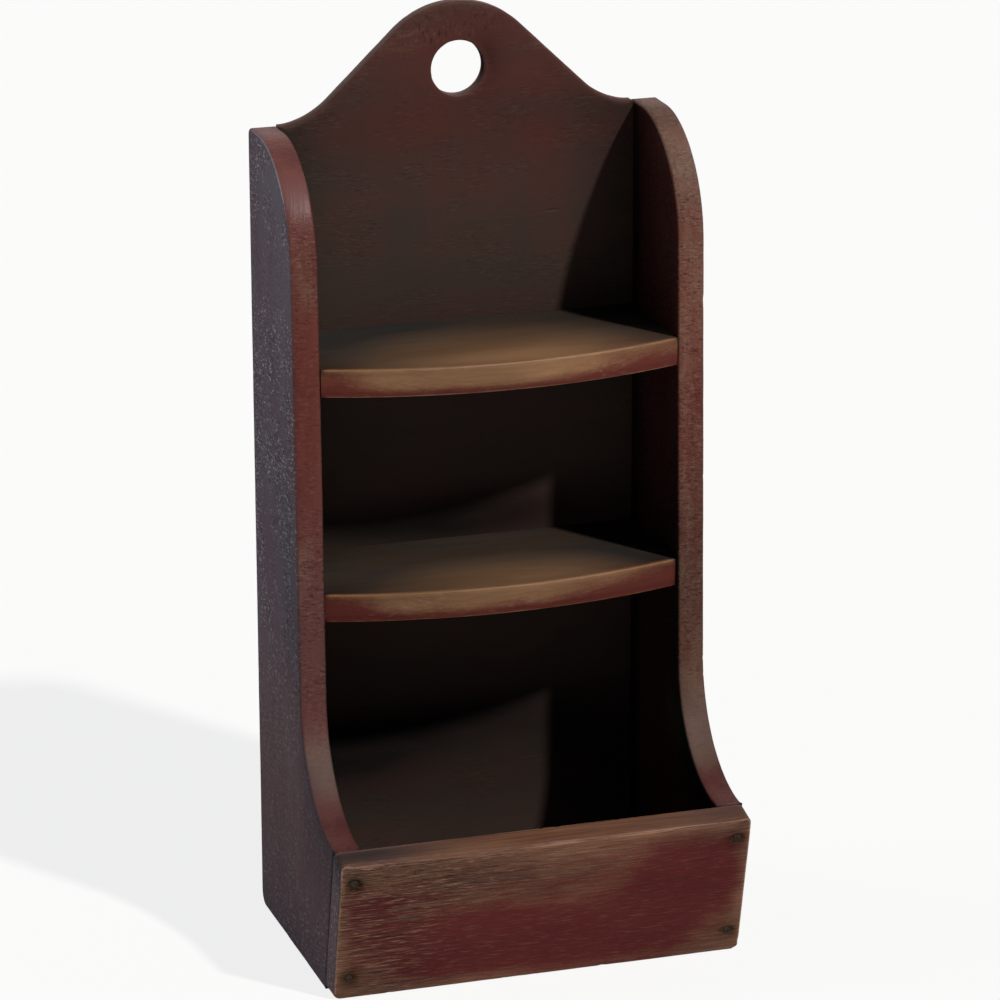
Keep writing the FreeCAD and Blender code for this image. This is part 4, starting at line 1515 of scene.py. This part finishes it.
    def on_slope(self, x: float, up: float, out: float) -> Spot3:
        """Place in the room of a spot on the front board.

        Args:
            x: across.
            up: up the slope on the board's own uncut scale.
            out: out from the inner face.

        Returns:
            The place in millimetres.
        """
        s = self.sizes
        low = out * math.tan(s.lean)
        climb = low + up * (s.slope_rise - low) / s.slope_rise
        y = s.back_plane - s.foot_depth - climb * math.sin(s.lean) - out * math.cos(s.lean)
        return x, y, climb * math.cos(s.lean) - out * math.sin(s.lean)

    def build(self, effects: Effects) -> None:
        """Make and dress the bin's two boards."""
        settle(self.floor().build(), self.floor_paint.make(effects), "bottom_board")
        settle(self.front().build(), self.paint.make(effects), "front_board")


@dataclass
class Ironwork:
    """Hand-cut nails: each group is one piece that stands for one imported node."""

    sizes: Sizes
    carcass: Carcass
    bin: Bin
    iron: OldIron
    head_half: Spot2 = (2.1, 2.45)
    shank_half: float = 0.95
    corners: int = 20
    front_sunk: float = 0.75
    side_sunk: float = 1.2
    back_sunk: float = 0.3

    def nail(self, head: np.ndarray, into: np.ndarray, across: np.ndarray, seed: int, sunk: float) -> tuple:
        """Points and faces of one nail.

        Args:
            head: where the head's top lies on the face, in millimetres.
            into: direction into the wood.
            across: direction of the head's short side.
            seed: which unevenness it has.
            sunk: how far the head is driven under the face.

        Returns:
            Points and faces.
        """
        count = self.corners
        angles = np.arange(count) * 2 * math.pi / count
        circle = np.stack([np.cos(angles), np.sin(angles)], 1)
        square = (1.0 / np.abs(circle).max(1) ** 0.62)[:, None]
        uneven = ripple(np.column_stack([circle * 1.3, np.full(count, float(seed))]), seed)
        outline = circle * self.head_half * square * (1.0 + 0.07 * uneven)[:, None]
        shank = circle * self.shank_half * square
        neck, body = 1.5, self.sizes.nail_length - 1.4
        rings = ((0.25, 0.16), (0.55, 0.12), (0.8, 0.22), (0.95, 0.45), (1.0, 0.75), (0.97, 1.1),
                 (0.85, 1.35))
        layers = [(outline * share, depth) for share, depth in rings]
        for share, along in ((1.15, 0.0), (1.0, 0.3), (0.85, 0.7)):
            layers.append((shank * share, neck + body * along))
        layers.append((shank * 0.4, body))
        basis = np.array([across, np.cross(into, across), into])
        points = [head + into * (sunk + 0.16)]
        for ring, depth in layers:
            dimple = 0.05 * ripple(np.column_stack([ring, np.full(count, float(seed))]), seed + 3)
            level = sunk + depth + (dimple if depth < 0.5 else np.zeros(count))
            points += list(head + np.column_stack([ring, level]) @ basis)
        points.append(head + into * (sunk + body + 0.4))
        faces = []
        for i in range(count):
            j = (i + 1) % count
            faces.append((0, 1 + j, 1 + i))
            for row in range(len(layers) - 1):
                a, b = 1 + row * count, 1 + (row + 1) * count
                faces.append((a + i, a + j, b + j, b + i))
            last = 1 + (len(layers) - 1) * count
            faces.append((last + i, last + j, len(points) - 1))
        return points, faces

    def group(self, name: str, node: str, nails: list[tuple], sunk: float,
              material: bpy.types.Material) -> None:
        """Make one group of nails as one piece.

        Args:
            name: the piece's name.
            node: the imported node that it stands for.
            nails: head place, direction into the wood and direction across, for each nail.
            sunk: how far the heads are driven under the face.
            material: the iron.
        """
        points, faces = [], []
        for number, places in enumerate(nails):
            spots, sides = self.nail(*(np.array(place) for place in places), 7 * number + 3, sunk)
            faces += [tuple(index + len(points) for index in side) for side in sides]
            points += spots
        settle(link_mesh(name, np.array(points), faces), material, node)

    def through_sides(self, spots: list[Spot2]) -> list[tuple]:
        """The same nails through both sides.

        Args:
            spots: depth from the wall and height, for each.

        Returns:
            Head place, direction into the wood and direction across, for each nail.
        """
        s = self.sizes
        return [((sign * s.half_width, s.back_plane - depth, height), (-sign, 0.0, 0.0), Y)
                for sign in (-1.0, 1.0) for depth, height in spots]

    def build(self, effects: Effects) -> None:
        """Make and dress every group of nails.

        Args:
            effects: the shared groups.
        """
        s, material = self.sizes, self.iron.make(effects)
        into = (0.0, math.cos(s.lean), math.sin(s.lean))
        front = [(self.bin.on_slope(x, up, s.front_thick), into, X) for x, up in self.bin.nail_spots()]
        self.group("front_nails", "front_board_nails", front, self.front_sunk, material)
        groups = {}
        for node, top, end in (("upper_shelf_nails", s.upper_shelf_top, s.upper_shelf_depth),
                               ("lower_shelf_nails", s.lower_shelf_top, s.lower_shelf_depth)):
            ends = (s.back_thick + s.shelf_nail_inset, end - s.shelf_nail_inset)
            groups[node] = [(depth, top - s.shelf_thick / 2) for depth in ends]
        floor_row = (s.back_thick + s.bottom_nail_inset, s.foot_depth - s.bottom_nail_inset)
        groups["bottom_board_nails"] = [(depth, s.bottom_thick / 2) for depth in floor_row]
        edge_rows = (s.back_nail_end, s.side_height / 2, s.side_height - s.back_nail_end)
        groups["back_edge_nails"] = [(s.back_thick / 2, height) for height in edge_rows]
        for node, spots in groups.items():
            self.group(f"{node}_set", node, self.through_sides(spots), self.side_sunk, material)
        rear = [((x, s.back_plane, z), TO_FRONT, X) for x, z in self.carcass.back_nail_spots()]
        self.group("back_nails", "back_face_nails", rear, self.back_sunk, material)


@dataclass
class Studio:
    """The camera at the photograph's angle, the lamps, the floor and the white surroundings."""

    lens: float = 182.119
    eye: Spot3 = (-0.81532, -2.57366, 1.12834)
    right: Spot3 = (0.9531, -0.30263, -0.00285)
    down: Spot3 = (-0.09517, -0.29077, -0.95205)
    ahead: Spot3 = (0.28729, 0.90767, -0.30593)
    key_turn: float = 33.0
    key_height: float = 43.0
    key_power: float = 3.5
    fill_power: float = 1.0
    ambient: float = 0.12
    floor_white: float = 0.82
    floor_half: float = 6000.0
    floor_cells: int = 24

    def camera(self) -> None:
        """Place the camera where the photograph was taken from."""
        data = bpy.data.cameras.new("camera")
        data.sensor_width, data.lens = 36.0, self.lens
        data.clip_start, data.clip_end = 0.05, 60.0
        seat = bpy.data.objects.new("camera", data)
        columns = np.array([self.right, [-v for v in self.down], [-v for v in self.ahead]]).T
        turn = Matrix(columns.tolist()).to_quaternion().to_matrix().to_4x4()
        seat.matrix_world = Matrix.Translation(Vector(self.eye)) @ turn
        bpy.context.scene.collection.objects.link(seat)
        bpy.context.scene.camera = seat

    def lamp(self, name: str, turn: float, height: float, power: float, spread: float,
             colour: Spot3) -> None:
        """Add a distant soft lamp.

        Args:
            name: the lamp's name.
            turn: degrees from straight in front, toward +X.
            height: degrees above the floor.
            power: strength on a surface that faces it.
            spread: how wide the lamp looks, in degrees.
            colour: the lamp's colour.
        """
        data = bpy.data.lights.new(name, "SUN")
        data.energy, data.angle, data.color = power, math.radians(spread), colour
        lamp = bpy.data.objects.new(name, data)
        flat, up = math.radians(turn), math.radians(height)
        toward = Vector((math.sin(flat) * math.cos(up), -math.cos(flat) * math.cos(up), math.sin(up)))
        lamp.rotation_mode = "QUATERNION"
        lamp.rotation_quaternion = toward.to_track_quat("Z", "Y")
        lamp.location = toward * 2.0
        bpy.context.scene.collection.objects.link(lamp)

    def world(self) -> None:
        """Dim even light all round, white where the camera or a gloss sees it."""
        world = bpy.data.worlds.new("studio")
        world.use_nodes = True
        world.node_tree.nodes.clear()
        bpy.context.scene.world = world
        w = Wiring(world.node_tree)
        dim = w.add("Background", {"Color": (0.92, 0.94, 1.0, 1.0), "Strength": self.ambient}).outputs[0]
        white = w.add("Background", {"Color": (1.0, 1.0, 1.0, 1.0), "Strength": 1.0}).outputs[0]
        both = w.add("MixShader", {0: w.seen(), 1: dim, 2: white}).outputs[0]
        w.add("OutputWorld", {"Surface": both})

    def floor(self) -> None:
        """A plain pale floor that keeps the shadow."""
        row = self.floor_cells + 1
        line = np.linspace(-self.floor_half, self.floor_half, row)
        points = np.array([(x, y, 0.0) for y in line for x in line])
        faces = [(a, a + 1, a + row + 1, a + row) for a in range(row * (row - 1)) if (a + 1) % row]
        floor = link_mesh("floor", points, faces)
        material, w = fresh_material("pale_floor")
        shade = self.floor_white
        plain = w.add("BsdfDiffuse", {"Color": (shade, shade, shade, 1.0)}).outputs[0]
        glow = w.add("Emission", {"Color": (1.0, 1.0, 1.0, 1.0), "Strength": 1.0}).outputs[0]
        both = w.add("MixShader", {0: w.times(w.seen(), shade), 1: plain, 2: glow}).outputs[0]
        w.add("OutputMaterial", {"Surface": both})
        floor.data.materials.append(material)

    def build(self) -> None:
        """Set the camera, the lamps, the surroundings and the floor."""
        self.camera()
        self.lamp("key", self.key_turn, self.key_height, self.key_power, 3.2, (1.0, 0.965, 0.92))
        self.lamp("left_fill", -118.0, 24.0, self.fill_power, 40.0, (0.86, 0.92, 1.0))
        self.world()
        self.floor()
        bpy.context.scene.view_settings.view_transform = "Standard"


# The sides' bloom colour is a weathered grey-violet, partly a painted reflection; their frost tips are
# partly painted light on the skin's relief.
SIDE_PAINT = MilkPaint(
    "side_milk_paint", "painted_board", coat_deep=(77, 36, 33), coat_light=(98, 54, 47),
    wood_dark=(80, 57, 46), wood_light=(112, 84, 69), haze_and_painted_light=(90, 84, 92), soil_and_shade_tint=(0.08, 0.2, 0.22),
    late_dark=0.08, mark_run=(620.0, 420.0, 300.0), mark_mm=1.1, arris_wear_and_highlight=0.85, frost=(160, 156, 164),
    grime_and_shade_hides=2.5, soil_and_shade_clear=0.0008, dark_mark=(44, 24, 21), fibre_tone=0.15,
    skin_run=(900.0, 300.0, 300.0), skin_share=0.76, skin_light=0.85, skin_dark=0.7, skin_mm=1.1,
    mark_share=0.9, mark_light=0.4, plain_arris=0.2, gloss=0.3, coat_rough=0.35, wood_rough=0.48)
# The front's strong arris lines and pale colour paint a highlight along its worn lip.
FRONT_PAINT = MilkPaint(
    "front_milk_paint", "painted_board", coat_deep=(69, 19, 18), coat_light=(77, 26, 24),
    wood_dark=(66, 42, 33), wood_light=(119, 84, 64), haze_and_painted_light=(70, 62, 70), soil_and_shade_tint=(0.16, 0.22, 0.18),
    late_dark=0.15, mark_run=(90.0, 1250.0, 1250.0), mark_mm=2.4, arris_wear_and_highlight=1.0, pale=(172, 134, 110),
    frost=(132, 114, 110), ring_spacing=0.0021, pith_across=0.025, pith_depth=-0.045, wander=0.014,
    rub_width=0.0016, dark_mark=(34, 24, 22), grain_bite=0.4, break_up=0.45, ridge_mm=0.1, fibre_mm=0.06,
    line_dark=0.25, skin_run=(640.0, 480.0, 480.0), skin_bands=(16.0, 62.0, 62.0), skin_share=0.9,
    skin_light=0.95, skin_mm=0.8, mark_bands=(18.0, 50.0, 50.0), mark_share=0.95, mark_light=0.8,
    mark_dark=1.0, hair_light=0.1, wood_rough=0.42)
BACK_PAINT = MilkPaint(
    "back_milk_paint", "painted_back", coat_deep=(72, 37, 33), coat_light=(64, 39, 36),
    wood_dark=(70, 48, 38), wood_light=(98, 71, 55), haze_and_painted_light=(52, 43, 38), soil_and_shade_tint=(0.2, 0.25, 0.3),
    late_dark=0.05, mark_run=(200.0, 800.0, 800.0), mark_mm=0.55, arris_wear_and_highlight=0.05, frost=(118, 84, 70),
    edge_wear=0.12, edge_clean=0.85, dark_mark=(34, 20, 18), grain_bite=0.08, break_up=0.9, ridge_mm=0.01,
    line_dark=0.05, skin_run=(520.0, 220.0, 220.0), skin_share=0.7, skin_light=0.2, skin_dark=0.9,
    mark_bands=(30.0, 50.0, 50.0), mark_share=0.6, mark_light=0.2, hair_run=(120.0, 700.0, 700.0),
    hair_share=0.2, hair_light=0.1, haze_gloss=0.08, haze_thin=0.8)
# The shelf finish's bloom colour is near-black painted shade, and its dirt tint is a cool painted shade.
SHELF_FINISH = MilkPaint(
    "shelf_worn_finish", "worn_shelf", coat_deep=(72, 28, 23), coat_light=(84, 38, 30),
    wood_dark=(100, 73, 51), wood_light=(132, 99, 71), haze_and_painted_light=(13, 10, 8), soil_and_shade_tint=(0.12, 0.21, 0.4),
    late_dark=0.1, mark_run=(160.0, 900.0, 900.0), mark_mm=0.25, arris_wear_and_highlight=0.35, pale=(190, 158, 146),
    rub_width=0.0006, grime_and_shade_hides=1.2, break_up=0.25, fibre_tone=0.3, mark_dark=0.2, hair_share=0.1,
    gloss=0.1)
NAIL_IRON = OldIron("old_nail_iron", "nail_iron")


def main() -> None:
    """Build the shelf piece by piece, then the studio."""
    logging.basicConfig(level=logging.INFO, format="%(name)s: %(message)s")
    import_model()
    sizes, effects = Sizes(), Effects()
    carcass = Carcass(sizes, SIDE_PAINT, BACK_PAINT)
    tray = Bin(sizes, FRONT_PAINT, BACK_PAINT)
    carcass.build(effects)
    Shelves(sizes, SHELF_FINISH).build(effects)
    tray.build(effects)
    Ironwork(sizes, carcass, tray, NAIL_IRON).build(effects)
    Studio().build()


if __name__ == "__main__":
    main()
